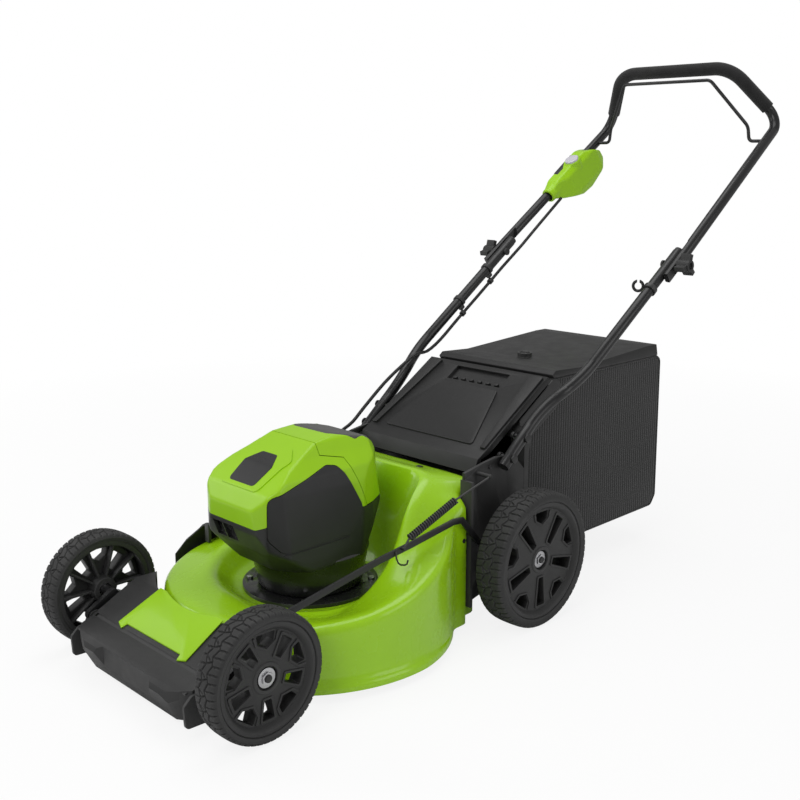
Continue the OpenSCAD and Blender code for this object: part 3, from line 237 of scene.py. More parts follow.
def weave(name, rgb, pitch):
    """Ribbed woven mesh: upright ribs, one in each pitch (m), with cross threads, faded in patches."""
    s = Shader(name)
    base = lin(rgb)
    split = s.node("ShaderNodeSeparateXYZ")
    s.link(s.coords, split.inputs[0])
    along = s.math("ADD", split.outputs["X"], split.outputs["Y"])
    wobble = s.math("MULTIPLY_ADD", s.noise(30.0, 2), 0.0012, along)
    rib = s.math("SINE", s.math("MULTIPLY", wobble, 2 * math.pi / pitch))
    cross = s.math("SINE", s.math("MULTIPLY", split.outputs["Z"], 2 * math.pi / (pitch * 0.6)))
    height = s.math("MULTIPLY_ADD", cross, 0.22, rib)
    fade = s.ramp(s.noise(7.0, 3), 0.3, 0.7, 0.88, 1.12)
    tone = s.math("MULTIPLY", s.ramp(height, -1.1, 0.9, 0.52, 1.18), fade)
    colour = s.mix(s.math("MULTIPLY", tone, 0.7), tuple(v * 0.25 for v in base),
                   tuple(v * 1.5 for v in base))
    s.link(colour, s.main.inputs["Base Color"])
    s.link(s.bump(height, 0.0006, 0.8), s.main.inputs["Normal"])
    s.set(s.main, Roughness=0.8, Specular_IOR_Level=0.2, Sheen_Weight=0.15, Sheen_Roughness=0.5)
    return s.mat


M["bag_weave"] = weave("bag_weave", (49, 49, 49), 0.0075)


# ---------------------------------------------------------------- pieces
def shade(obj, angle):
    """Smooth shading that keeps the edges above an angle in degrees."""
    mesh = obj.data
    mesh.polygons.foreach_set("use_smooth", [True] * len(mesh.polygons))
    mesh.set_sharp_from_angle(angle=math.radians(angle))
    return obj


def paint(obj, mat):
    obj.data.materials.clear()
    obj.data.materials.append(M[mat])
    return obj


def as_piece(obj, name, mat, body, slot, replaces=None, angle=35):
    """Makes a loose object a piece: name, shading, material, body and the CAD node that it replaces; slot is
    not used.
    """
    obj.name = obj.data.name = name
    paint(shade(obj, angle), mat)
    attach(obj, body)
    if replaces:
        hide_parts(replaces)
    return obj


def piece(name, mesh, mat, body, slot, replaces=None, angle=35):
    """A piece from (verts, faces) in metres."""
    return as_piece(solid(*mesh), name, mat, body, slot, replaces, angle)


MERGE, FLAT_ANGLE, EDGE_ANGLE, EDGE_STEPS = 1e-6, 0.6, 30, 3     # metres, degrees, degrees


def finish_node(node, mat, width):
    """A CAD node whose shape stays: its material, and its edges rounded by a modifier, width in mm."""
    obj = paint(NODE[node], mat)
    if width:
        weld = obj.modifiers.new("weld", "WELD")
        weld.merge_threshold = MERGE
        flat = obj.modifiers.new("flat", "DECIMATE")
        flat.decimate_type, flat.angle_limit = "DISSOLVE", math.radians(FLAT_ANGLE)
        bevel = obj.modifiers.new("round", "BEVEL")
        bevel.width, bevel.segments = width / 1000, EDGE_STEPS
        bevel.limit_method, bevel.angle_limit = "ANGLE", math.radians(EDGE_ANGLE)
        bevel.miter_outer = "MITER_ARC"
        bevel.harden_normals = True
        shade(obj, EDGE_ANGLE)
    return obj


# ---------------------------------------------------------------- outlines
def rounded(points, r, steps=4):
    """A closed outline with its corners rounded."""
    out = []
    n = len(points)
    for i in range(n):
        p = Vector(points[i])
        a, b = Vector(points[i - 1]) - p, Vector(points[(i + 1) % n]) - p
        turn = a.angle(b) / 2
        reach = min(r / math.tan(turn), 0.45 * a.length, 0.45 * b.length)
        a, b = p + a.normalized() * reach, p + b.normalized() * reach
        for k in range(steps + 1):
            t = k / steps
            out.append((1 - t) ** 2 * a + 2 * t * (1 - t) * p + t * t * b)
    return out


def smooth_outline(points, r):
    return [tuple(p) for p in rounded(points, r, 5)]


def grown(points, d):
    """An outline moved outwards by d (inwards if negative)."""
    area = sum(a[0] * b[1] - b[0] * a[1] for a, b in zip(points, points[1:] + points[:1]))
    sign = 1 if area > 0 else -1
    out = []
    for i, p in enumerate(points):
        p, a, b = Vector(p), Vector(points[i - 1]), Vector(points[(i + 1) % len(points)])
        u, v = (p - a).normalized(), (b - p).normalized()
        nu, nv = Vector((u.y, -u.x)) * sign, Vector((v.y, -v.x)) * sign
        mid = (nu + nv).normalized()
        out.append(tuple(p + mid * d / max(0.3, mid.dot(nu))))
    return out



def two_sided(half):
    """A half outline of (x, v), mirrored in x to close it."""
    return list(half) + [(-x, v) for x, v in reversed(half)]


def circle(r, steps):
    return [(r * math.cos(t), r * math.sin(t)) for t in np.linspace(0, 2 * math.pi, steps, endpoint=False)]


def ring_points(cx, cy, r, flats=0.0):
    """A round outline; flats above 0 pulls it towards a hexagon."""
    out = []
    for k in range(40):
        t = 2 * math.pi * k / 40
        reach = r * (1 - flats * (1 - abs(math.cos(3 * t))))
        out.append((cx + reach * math.cos(t), cy + reach * math.sin(t)))
    return out


def spin(loop, degrees):
    c, s = math.cos(math.radians(degrees)), math.sin(math.radians(degrees))
    return [(x * c - y * s, x * s + y * c) for x, y in loop]


# ---------------------------------------------------------------- meshes as (verts, faces)
def ring_faces(rings, size, closed=True):
    """Faces between neighbouring rings of points; closed joins the last ring to the first."""
    return [(i * size + k, i * size + (k + 1) % size, (i + 1) % rings * size + (k + 1) % size,
             (i + 1) % rings * size + k) for i in range(rings if closed else rings - 1) for k in range(size)]


def lathe(profile, steps=96):
    """A closed profile of (r, z) points turned around local Z."""
    verts = [(r * math.cos(t), r * math.sin(t), z) for i in range(steps)
             for t in [2 * math.pi * i / steps] for r, z in profile]
    return verts, ring_faces(steps, len(profile))


def placed(mesh, y=0, z=0):
    """A mesh in mm, moved by y and z from the rear axle's plane and given in metres."""
    return [at(a, b + y, c + z) for a, b, c in mesh[0]], mesh[1]


def tube_mesh(points, r, sides=8, closed=False):
    """A round tube along a line of points."""
    pts = [Vector(p) for p in points]
    n = len(pts)
    verts, up = [], None
    for i, p in enumerate(pts):
        a = pts[i - 1] if i or closed else p
        b = pts[(i + 1) % n] if i < n - 1 or closed else p
        along = (b - a).normalized()
        up = (up - along * up.dot(along)).normalized() if up else along.orthogonal().normalized()
        side = along.cross(up)
        verts += [tuple(p + (up * math.cos(t) + side * math.sin(t)) * r)
                  for t in np.linspace(0, 2 * math.pi, sides, endpoint=False)]
    faces = ring_faces(n, sides, closed)
    if not closed:
        faces += [tuple(range(sides)), tuple(range(n * sides - 1, (n - 1) * sides - 1, -1))]
    return verts, faces


def plate_mesh(loops, z0, z1, bevel):
    """A flat plate from an outline and the outlines of its holes, its edges rounded."""
    curve = bpy.data.curves.new("outline", "CURVE")
    curve.dimensions, curve.fill_mode = "2D", "BOTH"
    curve.extrude = (z1 - z0) / 2 - bevel
    curve.bevel_depth, curve.bevel_resolution = bevel, 2
    curve.offset = -bevel
    for loop in loops:
        line = curve.splines.new("POLY")
        line.points.add(len(loop) - 1)
        for point, p in zip(line.points, loop):
            point.co = (p[0], p[1], 0, 1)
        line.use_cyclic_u = True
    holder = bpy.data.objects.new("outline", curve)
    bpy.context.scene.collection.objects.link(holder)
    mesh = bpy.data.meshes.new_from_object(holder.evaluated_get(bpy.context.evaluated_depsgraph_get()))
    bpy.data.objects.remove(holder)
    bpy.data.curves.remove(curve)
    mid = (z0 + z1) / 2
    verts = [(v.co.x, v.co.y, v.co.z + mid) for v in mesh.vertices]
    faces = [tuple(p.vertices) for p in mesh.polygons]
    bpy.data.meshes.remove(mesh)
    return verts, faces


def joined(*parts):
    """Several meshes as one."""
    verts, faces = [], []
    for v, f in parts:
        faces += [tuple(i + len(verts) for i in face) for face in f]
        verts += v
    return verts, faces


# ---------------------------------------------------------------- loose solids
def solid(verts, faces):
    """A loose object with outward faces, not yet a piece."""
    mesh = bpy.data.meshes.new("solid")
    mesh.from_pydata([tuple(v) for v in verts], [], faces)
    bm = bmesh.new()
    bm.from_mesh(mesh)
    bmesh.ops.recalc_face_normals(bm, faces=bm.faces)
    bm.to_mesh(mesh)
    bm.free()
    obj = bpy.data.objects.new("solid", mesh)
    bpy.context.scene.collection.objects.link(obj)
    return obj


def pushed(place, points, depths):
    """The solid between an outline's two copies; place turns (point, depth) into metres."""
    spots = [place(p, d) for d in depths for p in points]
    n = len(points)
    faces = [tuple(range(n)), tuple(range(2 * n - 1, n - 1, -1))]
    faces += [(i, n + i, n + (i + 1) % n, (i + 1) % n) for i in range(n)]
    return solid(spots, faces)


def prism(points, depth0, depth1, axes):
    """A closed outline pushed along one axis; axes names the two of the outline, then the third."""
    return pushed(lambda p, d: at(**dict(zip(axes, (*p, d)))), points, (depth0, depth1))


def block(lo, hi):
    """An axis-aligned box between two corners."""
    (x0, y0, z0), (x1, y1, z1) = lo, hi
    return prism([(y0, z0), (y1, z0), (y1, z1), (y0, z1)], x0, x1, "yzx")


def baked(obj):
    """The object's mesh with its modifiers applied, as plain data on the same object."""
    mesh = bpy.data.meshes.new_from_object(obj.evaluated_get(bpy.context.evaluated_depsgraph_get()))
    old = obj.data
    obj.modifiers.clear()
    obj.data = mesh
    bpy.data.meshes.remove(old)
    return obj


def edged(obj, width):
    """Rounds the sharp edges by a width in mm."""
    edge = obj.modifiers.new("edge", "BEVEL")
    edge.width, edge.segments, edge.limit_method = width / 1000, EDGE_STEPS, "ANGLE"
    return baked(obj)


def softened(obj, voxel, rounds):
    """Rounds every edge: voxel remesh with cells of voxel mm, then relaxed."""
    grid = obj.modifiers.new("grid", "REMESH")
    grid.mode, grid.voxel_size = "VOXEL", voxel / 1000
    relax = obj.modifiers.new("relax", "SMOOTH")
    relax.factor, relax.iterations = 0.5, rounds
    return baked(obj)


def copy_of(obj):
    twin = obj.copy()
    twin.data = obj.data.copy()
    bpy.context.scene.collection.objects.link(twin)
    return twin


def moved(obj, *shift):
    """Moves the mesh by a shift in mm."""
    obj.data.transform(Matrix.Translation(Vector(shift) / 1000))
    return obj


def cut(obj, operation, *tools):
    """Exact boolean with each tool in turn; the tools are used up."""
    for tool in tools:
        step = obj.modifiers.new("cut", "BOOLEAN")
        step.operation, step.object, step.solver = operation, tool, "EXACT"
        baked(obj)
        bpy.data.objects.remove(tool)
    return obj


# ---------------------------------------------------------------- motor housing
SHAFT_Y = -317
# The outline from the left (y, z), its half from the front (x, z) and its half from above (x, y)
SIDE = [(-415, 138), (-468, 205), (-482, 240), (-486, 280), (-470, 306), (-422, 339), (-350, 372),
        (-300, 379), (-226, 362), (-208, 344), (-204, 290), (-198, 244), (-212, 208), (-236, 168),
        (-236, 138)]
FRONT = [(104, 138), (100, 200), (96, 300), (90, 324), (72, 350), (60, 372), (40, 384)]
PLAN = [(56, -487), (82, -474), (104, -430), (104, -290), (86, -242), (60, -198)]
# How far each rear corner reaches from the shaft at a height: (reach, z)
CORNER = [(96, 138), (100, 168), (114, 206), (125, 242), (119, 285), (115, 335), (106, 356), (70, 390)]
BELLY = [(0.01, 163), (126, 163), (401, 438), (0.01, 438)]      # a cone that rounds the underside, (r, z)
SKIN_MID, SKIN_SCALE = at(0, -337, 258), 0.955                  # the inner skin is the outer one, scaled here
PAST_X, PAST_Y, PAST_Z, FAR_OUT = 120, (-560, -100), (0, 500), 400      # places past the housing each way


def corner_cut(side):
    """The prism that trims one rear corner, seen square to that corner."""
    half = math.sqrt(0.5)
    return pushed(lambda p, d: at(side * (p[0] - d) * half, SHAFT_Y + (p[0] + d) * half, p[1]),
                  [(-FAR_OUT, CORNER[-1][1]), (-FAR_OUT, CORNER[0][1])] + CORNER, (-FAR_OUT, FAR_OUT))


form = prism(SIDE, -PAST_X, PAST_X, "yzx")
cut(form, "INTERSECT", prism(two_sided(FRONT), *PAST_Y, "xzy"), prism(two_sided(PLAN), *PAST_Z, "xyz"),
    corner_cut(1), corner_cut(-1), solid(*placed(lathe(BELLY, 128), y=SHAFT_Y)))
softened(form, voxel=2.2, rounds=14)
inner = copy_of(form)
inner.data.transform(Matrix.Translation(SKIN_MID) @ Matrix.Scale(SKIN_SCALE, 4) @ Matrix.Translation(-SKIN_MID))
inner.data.flip_normals()
skins = bmesh.new()
skins.from_mesh(form.data)
skins.from_mesh(inner.data)
skins.to_mesh(form.data)
skins.free()
bpy.data.objects.remove(inner)

# The seam between lime cover and black lower part runs under the side panel; outlines are (y, z)
SEAM = [(-560, 249), (-484, 249), (-472, 258), (-462, 274), (-340, 296), (-286, 262), (-276, 251),
        (-120, 251)]
HATCH = [(-350, 430), (-350, 352), (-303, 341), (-264, 251), (-120, 251), (-120, 430)]
PANEL = [(-471, 303), (-345, 336), (-325, 332), (-312, 317), (-277, 253), (-305, 211), (-450, 209),
         (-472, 234)]
GAP, PANEL_GAP = 0.6, 0.9                # half the joint around the hatch, the joint around the side panels
PANEL_PROUD, PANEL_ROUND = 1.2, 16       # how far the side panels stand out, and their corners
ABOVE = SEAM + [(-120, 480), (-560, 480)]
BELOW = [(y, z - 1) for y, z in SEAM] + [(-120, 60), (-560, 60)]


def through(outline):
    """A cutter right across the housing."""
    return prism(outline, -140, 140, "yzx")


def shell_part(outline, hatch_gap):
    """The housing inside an outline, without the hatch and the seats of the side panels."""
    part = cut(copy_of(form), "INTERSECT", through(outline))
    seat = smooth_outline(grown(PANEL, PANEL_GAP), PANEL_ROUND + 1)
    return cut(part, "DIFFERENCE", through(grown(HATCH, hatch_gap)), prism(seat, 60, 160, "yzx"),
               prism(seat, -160, -60, "yzx"))


hatch = cut(copy_of(form), "INTERSECT", through(grown(HATCH, -GAP)))
cover = shell_part(ABOVE, GAP)
lower = shell_part(BELOW, 2 * GAP)
panel_left = cut(copy_of(form), "INTERSECT", prism(smooth_outline(PANEL, PANEL_ROUND), 40, 160, "yzx"))
moved(panel_left, PANEL_PROUD, 0, 0)
panel_right = copy_of(panel_left)
panel_right.data.transform(Matrix.Scale(-1, 4, (1, 0, 0)))
panel_right.data.flip_normals()
bpy.data.objects.remove(form)


# ---------------------------------------------------------------- hatch cap, raised pad, bands and neck
def strip(source, outline, *lift):
    """The part of the housing skin inside an outline (x, y) seen from above, moved by lift."""
    return moved(cut(copy_of(source), "INTERSECT", prism(outline, 0, 500, "xyz")), *lift)


CAP = smooth_outline([(-48, -312), (48, -309), (64, -264), (56, -215), (-56, -215), (-64, -264)], 14)
PAD = smooth_outline([(-50, -468), (50, -468), (62, -402), (34, -377), (-34, -377), (-62, -402)], 12)
LABEL = smooth_outline([(-34, -461), (34, -461), (38, -424), (20, -398), (-20, -398), (-38, -424)], 8)
BAND = smooth_outline([(-449, 204), (-406, 182), (-372, 180), (-310, 186), (-306, 206), (-446, 206)], 5)
NECK = [(60, 105), (91, 105), (94, 109), (97, 120), (103, 160), (106, 169), (102, 172), (98, 158),
        (92, 112), (60, 110)]
BAND_PROUD = 1.4
# Two air slots in the front, and the dark plate behind them
VENT_X, VENT_Z = ((-56, -30), (-27, 2)), (213, 242)
VENT_SHADE = (VENT_X[0][0] - 6, -466, VENT_Z[0] - 7), (VENT_X[1][1] + 6, -464, VENT_Z[1] + 7)

cap = strip(hatch, CAP, 0, -0.3, -0.9)
cut(hatch, "DIFFERENCE", prism(grown(CAP, PANEL_GAP), 300, 500, "xyz"))
as_piece(cap, "hatch_cap", "cap_grey", "hatch", "grey_plastic")
as_piece(strip(cover, PAD, 0, -0.9, 1.3), "cover_pad", "lime_plastic", "frame", "lime_plastic")
as_piece(strip(cover, LABEL, 0, -1.2, 1.75), "cover_label", "label_black", "frame", "black_plastic")
for side, side_name in ((1, "left"), (-1, "right")):
    band = cut(copy_of(lower), "INTERSECT", prism(BAND, side * 60, side * 200, "yzx"))
    as_piece(moved(band, side * BAND_PROUD, 0, 0), f"side_band_{side_name}", "panel_plastic", "frame",
             "black_plastic")
cut(lower, "DIFFERENCE", *(block((x0, -520, VENT_Z[0]), (x1, -440, VENT_Z[1])) for x0, x1 in VENT_X))
as_piece(block(*VENT_SHADE), "vent_shade", "gloss_black", "frame", "black_plastic")
piece("housing_neck", placed(lathe(NECK), y=SHAFT_Y), "gloss_black", "frame", "black_plastic",
      "housing_lower")
as_piece(hatch, "hatch_shell", "lime_plastic", "hatch", "lime_plastic", "battery_hatch")
as_piece(cover, "cover_shell", "lime_plastic", "frame", "lime_plastic", "housing_cover")
as_piece(lower, "lower_shell", "panel_plastic", "frame", "black_plastic")
as_piece(panel_left, "side_panel_left", "panel_plastic", "frame", "black_plastic", "side_panels")
as_piece(panel_right, "side_panel_right", "panel_plastic", "frame", "black_plastic")


# ---------------------------------------------------------------- deck
# Radii from the shaft, and how far inside the skirt the crest, its brow and the shoulder lie
DECK_R, BOWL_R, HOLE_R, CREST_IN, BROW_IN, SHOULDER_IN = 258, 140, 90, 78, 50, 18
SEAT_Z, FLOOR_Z, DECK_WALL = 96, 14, 3
REAR_BOXES = ((195, 206), (168, 256))      # the square rear: half width, reach behind the shaft
RIM_OUT, RIM_END, RIM_FADE = 11, 128, 32   # the rolled rim, and the turn where it ends, in degrees
# Heights of skirt and crest by the turn from the front, in degrees
SKIRT_Z = [(-180, 274), (-150, 274), (-141, 266), (-133, 225), (-127, 172), (-118, 145), (-108, 130),
           (-50, 120), (50, 120), (72, 130), (92, 148), (104, 164), (116, 178), (126, 198), (134, 236),
           (142, 266), (150, 274), (180, 274)]
CREST_Z = [(-180, 289), (-150, 288), (-138, 270), (-127, 235), (-115, 200), (-105, 175), (-90, 156),
           (-75, 144), (-60, 137), (-30, 132), (0, 126), (15, 118), (30, 110), (60, 106), (75, 116),
           (90, 146), (105, 180), (120, 228), (130, 256), (140, 276), (150, 288), (180, 289)]
EVERY = np.arange(-180, 180, 0.5)          # the turns at which heights and reaches are softened
TURN_STEP = 1.5                            # degrees between the deck's sections
# Boxes cut out of the deck: the rear outlet into the bag and the side outlet on the right
OUTLETS = (((-150, -81, 118), (150, -41, 266)), ((-278, -400, 48), (-218, -290, 114)))


def blurred(value, sigma):
    """Values at every half degree, softened around the circle; sigma in degrees."""
    reach = np.arange(-60, 61)
    weight = np.exp(-0.5 * (reach * 0.5 / sigma) ** 2)
    weight /= weight.sum()
    return np.convolve(np.concatenate([value[-60:], value, value[:60]]), weight, "valid")


def height(points, sigma):
    """A height table, softened, at every half degree."""
    return blurred(np.interp(EVERY, *zip(*points)), sigma)


def box_reach(a, half, far):
    """How far a box behind the shaft reaches at the turns a."""
    c = np.cos(np.radians(a))
    s = np.maximum(np.abs(np.sin(np.radians(a))), 0.001)
    return np.where(c > -0.01, 0, np.minimum(half / s, far / np.maximum(-c, 0.001)))


def chaikin(points, rounds=2):
    """An open line with its corners cut, twice over."""
    p = np.asarray(points, float)
    for _ in range(rounds):
        q = np.empty((2 * (len(p) - 1), p.shape[1]))
        q[0::2] = 0.75 * p[:-1] + 0.25 * p[1:]
        q[1::2] = 0.25 * p[:-1] + 0.75 * p[1:]
        p = np.concatenate([p[:1], q[1:-1], p[-1:]])
    return p


def deck_line(r, q, e, h, c, t):
    """The deck's section at one turn: reach r, softened reach q, rim e, skirt h, crest c, wall depth t."""
    s, wall, low = (1 if t else 0), t * 0.7, SEAT_Z
    return chaikin([(r + e - t, FLOOR_Z), (r + e - t, FLOOR_Z + 10 - s),
                    (r - t, FLOOR_Z + 10 + e * 0.9 - s), (r - t, h - 16), (r - 5 - t * 0.8, h - 3 - t * 0.6),
                    (r - SHOULDER_IN - t * 0.5, h + 1 - t * 0.9), (q - BROW_IN, h + (c - h) * 0.45 - t),
                    (q - CREST_IN, c - t), (q - CREST_IN - 14 + wall, c - 5 - t),
                    (BOWL_R + 14 + wall, low + 8 + (c - low) * 0.3 - t), (BOWL_R - 4 + wall, low - t),
                    (HOLE_R, low - t)])


def deck_mesh():
    turns = np.arange(-180, 180, TURN_STEP)
    reach = np.maximum(DECK_R, np.maximum(*(box_reach(EVERY, half, far) for half, far in REAR_BOXES)))
    skirt, crest, outer, inner = (np.interp(turns, EVERY, value) for value in (
        height(SKIRT_Z, 4.0), height(CREST_Z, 6.0), blurred(reach, 1.2), blurred(reach, 7.0)))
    rim = RIM_OUT * np.clip((RIM_END - np.abs(turns)) / RIM_FADE, 0, 1)
    rings = []
    for a, h, c, r, q, e in zip(np.radians(turns), skirt, crest, outer, inner, rim):
        section = np.concatenate([deck_line(r, q, e, h, c, 0), deck_line(r, q, e, h, c, DECK_WALL)[::-1]])
        rings.append([at(x * math.sin(a), SHAFT_Y - x * math.cos(a), z) for x, z in section])
    return [p for ring in rings for p in ring], ring_faces(len(rings), len(rings[0]))


deck = cut(solid(*deck_mesh()), "DIFFERENCE", *(block(lo, hi) for lo, hi in OUTLETS))
as_piece(deck, "deck_shell_pressed", "lime_paint", "frame", "lime_paint", "deck_shell", 40)


# ---------------------------------------------------------------- switch box
BOX_X, LEG_AT = -229.5, (640, 755.2)       # a point on the right leg's axis: x, (y, z)
LEG_COS, LEG_SIN = 0.8213, 0.5706          # the leg's slope


def on_leg(points, d0, d1, axes):
    """A prism in the right leg's frame: x across, s up along the leg, h square to it (0 = its axis)."""
    def place(p, d):
        q = dict(zip(axes, (*p, d)))
        return at(BOX_X + q["x"], LEG_AT[0] + q["s"] * LEG_COS - q["h"] * LEG_SIN,
                  LEG_AT[1] + q["s"] * LEG_SIN + q["h"] * LEG_COS)
    return pushed(place, points, (d0, d1))


BOX_SIDE = [(-6, -12), (20, -30), (88, -66), (128, -72), (176, -60), (202, -36), (196, -12), (172, 6),
            (142, 20.6), (24, 20.9), (0, 13)]
BOX_SECTION = [(-24, -48), (-24, 10), (-15, 21), (13, 21), (24, 8), (24, -48), (16, -74), (-16, -74)]
BOX_PLAN = [(-15, -8), (15, -8), (16, 14), (24, 50), (24, 176), (15, 206), (-15, 206), (-24, 176),
            (-24, 50), (-16, 14)]
DECAL = smooth_outline([(-15, 48), (-2, 46), (-2, 70), (-9, 84), (-9, 122), (-15, 126)], 3)
BUTTON_AT, BUTTON_R, BUTTON_FLATS = (6, 101.9), 17, 0.06
SLEEVE_R, TUBE_HOLE_R = 17.5, 12.6
POCKET_FLOOR, CAP_UNDER, CAP_TOP = 15, 14, 27.5             # heights h of the button's pocket and its cap

box = on_leg(smooth_outline(BOX_SIDE, 9), -30, 30, "shx")
cut(box, "INTERSECT", on_leg(BOX_SECTION, -20, 230, "xhs"),
    on_leg(smooth_outline(BOX_PLAN, 10), -90, 40, "xsh"))
cut(box, "UNION", on_leg(ring_points(0, 0, SLEEVE_R), -14, 24, "xhs"),
    on_leg(ring_points(*BUTTON_AT, BUTTON_R + 3), 0, 23.5, "xsh"))
softened(box, voxel=1.3, rounds=40)
cut(box, "DIFFERENCE", on_leg(ring_points(0, 0, TUBE_HOLE_R), -40, 260, "xhs"),
    on_leg(ring_points(*BUTTON_AT, BUTTON_R + 0.2, BUTTON_FLATS), POCKET_FLOOR, 40, "xsh"))
as_piece(box, "switch_box_moulded", "lime_plastic", "handle", "lime_plastic", "switch_box")
button = on_leg(ring_points(*BUTTON_AT, BUTTON_R, BUTTON_FLATS), CAP_UNDER, CAP_TOP, "xsh")
as_piece(edged(button, 1.5), "button_cap", "button", "button", "button_plastic", "start_button")
decal = on_leg(DECAL, 15, 21.5, "xsh")
as_piece(edged(decal, 1.5), "switch_decal", "label_black", "handle", "black_plastic")

# ---------------------------------------------------------------- rear flap details
FLAP_TILT, CREASE = math.radians(32.5), (-24, 314)
FLAP_PANEL = smooth_outline([(-118, 5), (118, 5), (82, 124), (74, 149), (-74, 149), (-82, 124)], 8)
FLAP_RIDGE = [(140, 2), (152, 2), (150, 204), (118, 204)]      # on the left, mirrored on the right
GRIPS, GRIP_X, GRIP_STEP, GRIP_W, GRIP_UP = 6, -60, 22, 10, (164, 170)


def on_flap(points, lift0, lift1, name):
    """A plate on the rear flap from an outline in (x, distance up the slope)."""
    c, s = math.cos(FLAP_TILT), math.sin(FLAP_TILT)
    plate = pushed(lambda p, h: at(p[0], CREASE[0] + p[1] * c - h * s, CREASE[1] + p[1] * s + h * c),
                   points, (lift0, lift1))
    return as_piece(edged(plate, 1.2), name, "flap", "flap", "black_plastic")


on_flap(FLAP_PANEL, -1, 2.4, "flap_panel")
for side, side_name in ((1, "left"), (-1, "right")):
    on_flap([(side * x, up) for x, up in FLAP_RIDGE], -1, 4.2, f"flap_ridge_{side_name}")
for k in range(GRIPS):
    x, (low, high) = GRIP_X + GRIP_STEP * k, GRIP_UP
    on_flap([(x, low), (x + GRIP_W, low), (x + GRIP_W, high), (x, high)], -8, -1.5, f"flap_grip_{k}")

# ---------------------------------------------------------------- bumper, plugs, ring and hook
# The bed under the badge panel, and the wings between each front wheel and the deck, as (y, z)
BED = [(-688, 72.8), (-652, 84.2), (-606, 108), (-606, 104.5), (-652, 81), (-688, 70)]
WING = smooth_outline([(-696, 22), (-698, 58), (-684, 71), (-612, 84), (-548, 78), (-536, 46), (-548, 18)], 8)
BED_HALF, WING_X = 160, (166, 171)
PLUG_SIDE, PLUG_SIDE_X = (-123.3, 174.5, 4.2), (192, 195.4)    # (y, z, radius) and the ends in x
PLUG_TOP = ((56, -107, 276), (67, -98, 281.6))
LID_RING = [(11, 0), (15.5, 0), (15.5, 2.4), (14, 3.4), (12.4, 3.4), (11, 2.4)]
# The little hook under the link rod, as (y, z)
LINK_X, HOOK_R = 206, 1.5
LINK_HOOK = [(-302.3, 204.1), (-301.5, 193), (-297, 183), (-290.8, 178.2), (-282, 175.6), (-276.8, 176.1),
             (-274.4, 182.6)]

as_piece(prism(BED, -BED_HALF, BED_HALF, "yzx"), "bumper_bed", "bumper_black", "frame", "black_plastic")
for side, side_name in ((1, "left"), (-1, "right")):
    as_piece(prism(WING, side * WING_X[0], side * WING_X[1], "yzx"), f"bumper_wing_{side_name}",
             "bumper_black", "frame", "black_plastic")
as_piece(prism(ring_points(*PLUG_SIDE), *PLUG_SIDE_X, "yzx"), "deck_plug_side", "gloss_black", "frame",
         "black_plastic")
as_piece(block(*PLUG_TOP), "deck_plug_top", "gloss_black", "frame", "black_plastic")
piece("lid_ring", placed(lathe(LID_RING, 48), y=273, z=437.6), "cheek_black", "bag", "grey_plastic")
piece("link_hook", placed(tube_mesh([(LINK_X, y, z) for y, z in LINK_HOOK], HOOK_R)), "dark_wire", "link",
      "spring_steel")

# ---------------------------------------------------------------- assist spring
# The points where lug, coil and hook meet, as (y, z)
SPRING_X, LUG, COIL_LOW, COIL_HIGH, HOOK = 209, (-287, 206), (-274, 222), (-162, 263), (-72, 286)
COIL_PITCH, TURN_STEPS, COIL_R = 5.2, 16, 5.4
COIL_WIRE, CORE_R, END_WIRE = 1.7, 3.4, 1.9                    # radii; the dark core fills the coil

axis = Vector(COIL_HIGH) - Vector(COIL_LOW)
length = axis.length
axis.normalize()
across = Vector((-axis.y, axis.x))
coil = []
for k in range(int(length / COIL_PITCH * TURN_STEPS) + 1):
    t = 2 * math.pi * k / TURN_STEPS
    spot = Vector(COIL_LOW) + axis * (k * COIL_PITCH / TURN_STEPS) + across * COIL_R * math.sin(t)
    coil.append((SPRING_X + COIL_R * math.cos(t), *spot))
wires = [tube_mesh(coil, COIL_WIRE, 7),
         tube_mesh([(SPRING_X, *COIL_LOW), (SPRING_X, *COIL_HIGH)], CORE_R, 12)]
for ends in ((LUG, COIL_LOW), (COIL_HIGH, HOOK)):
    wires.append(tube_mesh([(SPRING_X, *p) for p in ends], END_WIRE, 10))
piece("spring_coil", placed(joined(*wires)), "dark_wire", "link", "spring_steel", "assist_spring", 60)

# ---------------------------------------------------------------- grass bag
BAG_HALF = 152
BAG = [(72.3, 128), (130.3, 74), (544, 78), (560, 100), (554, 410), (540, 420), (176, 420), (72.3, 352)]
BAG_Y, BAG_LENGTH, BAG_Z, BAG_HEIGHT = 72, 488, 80, 340     # where the cloth starts, and how far it goes
MOUTH_HALF, MOUTH_Z, MOUTH_Y = 140, (142, 340), 76          # the opening's half width, heights and depth
SIDE_IN, END_OUT = 4.5, 7                                   # how far the cloth draws in or bellies out
CLOTH, PIPING_R, PIPING_IN, CHEEK_HALF = 1.6, 2.9, 2.6, 2
SHOULDER = smooth_outline([(73, 124), (84, 114), (92, 180), (96, 262), (112, 318), (186, 360), (204, 402),
                           (186, 419), (176, 421), (73, 354)], 10)


def share(value, start, size):
    return min(1, max(0, (value - start) / size))


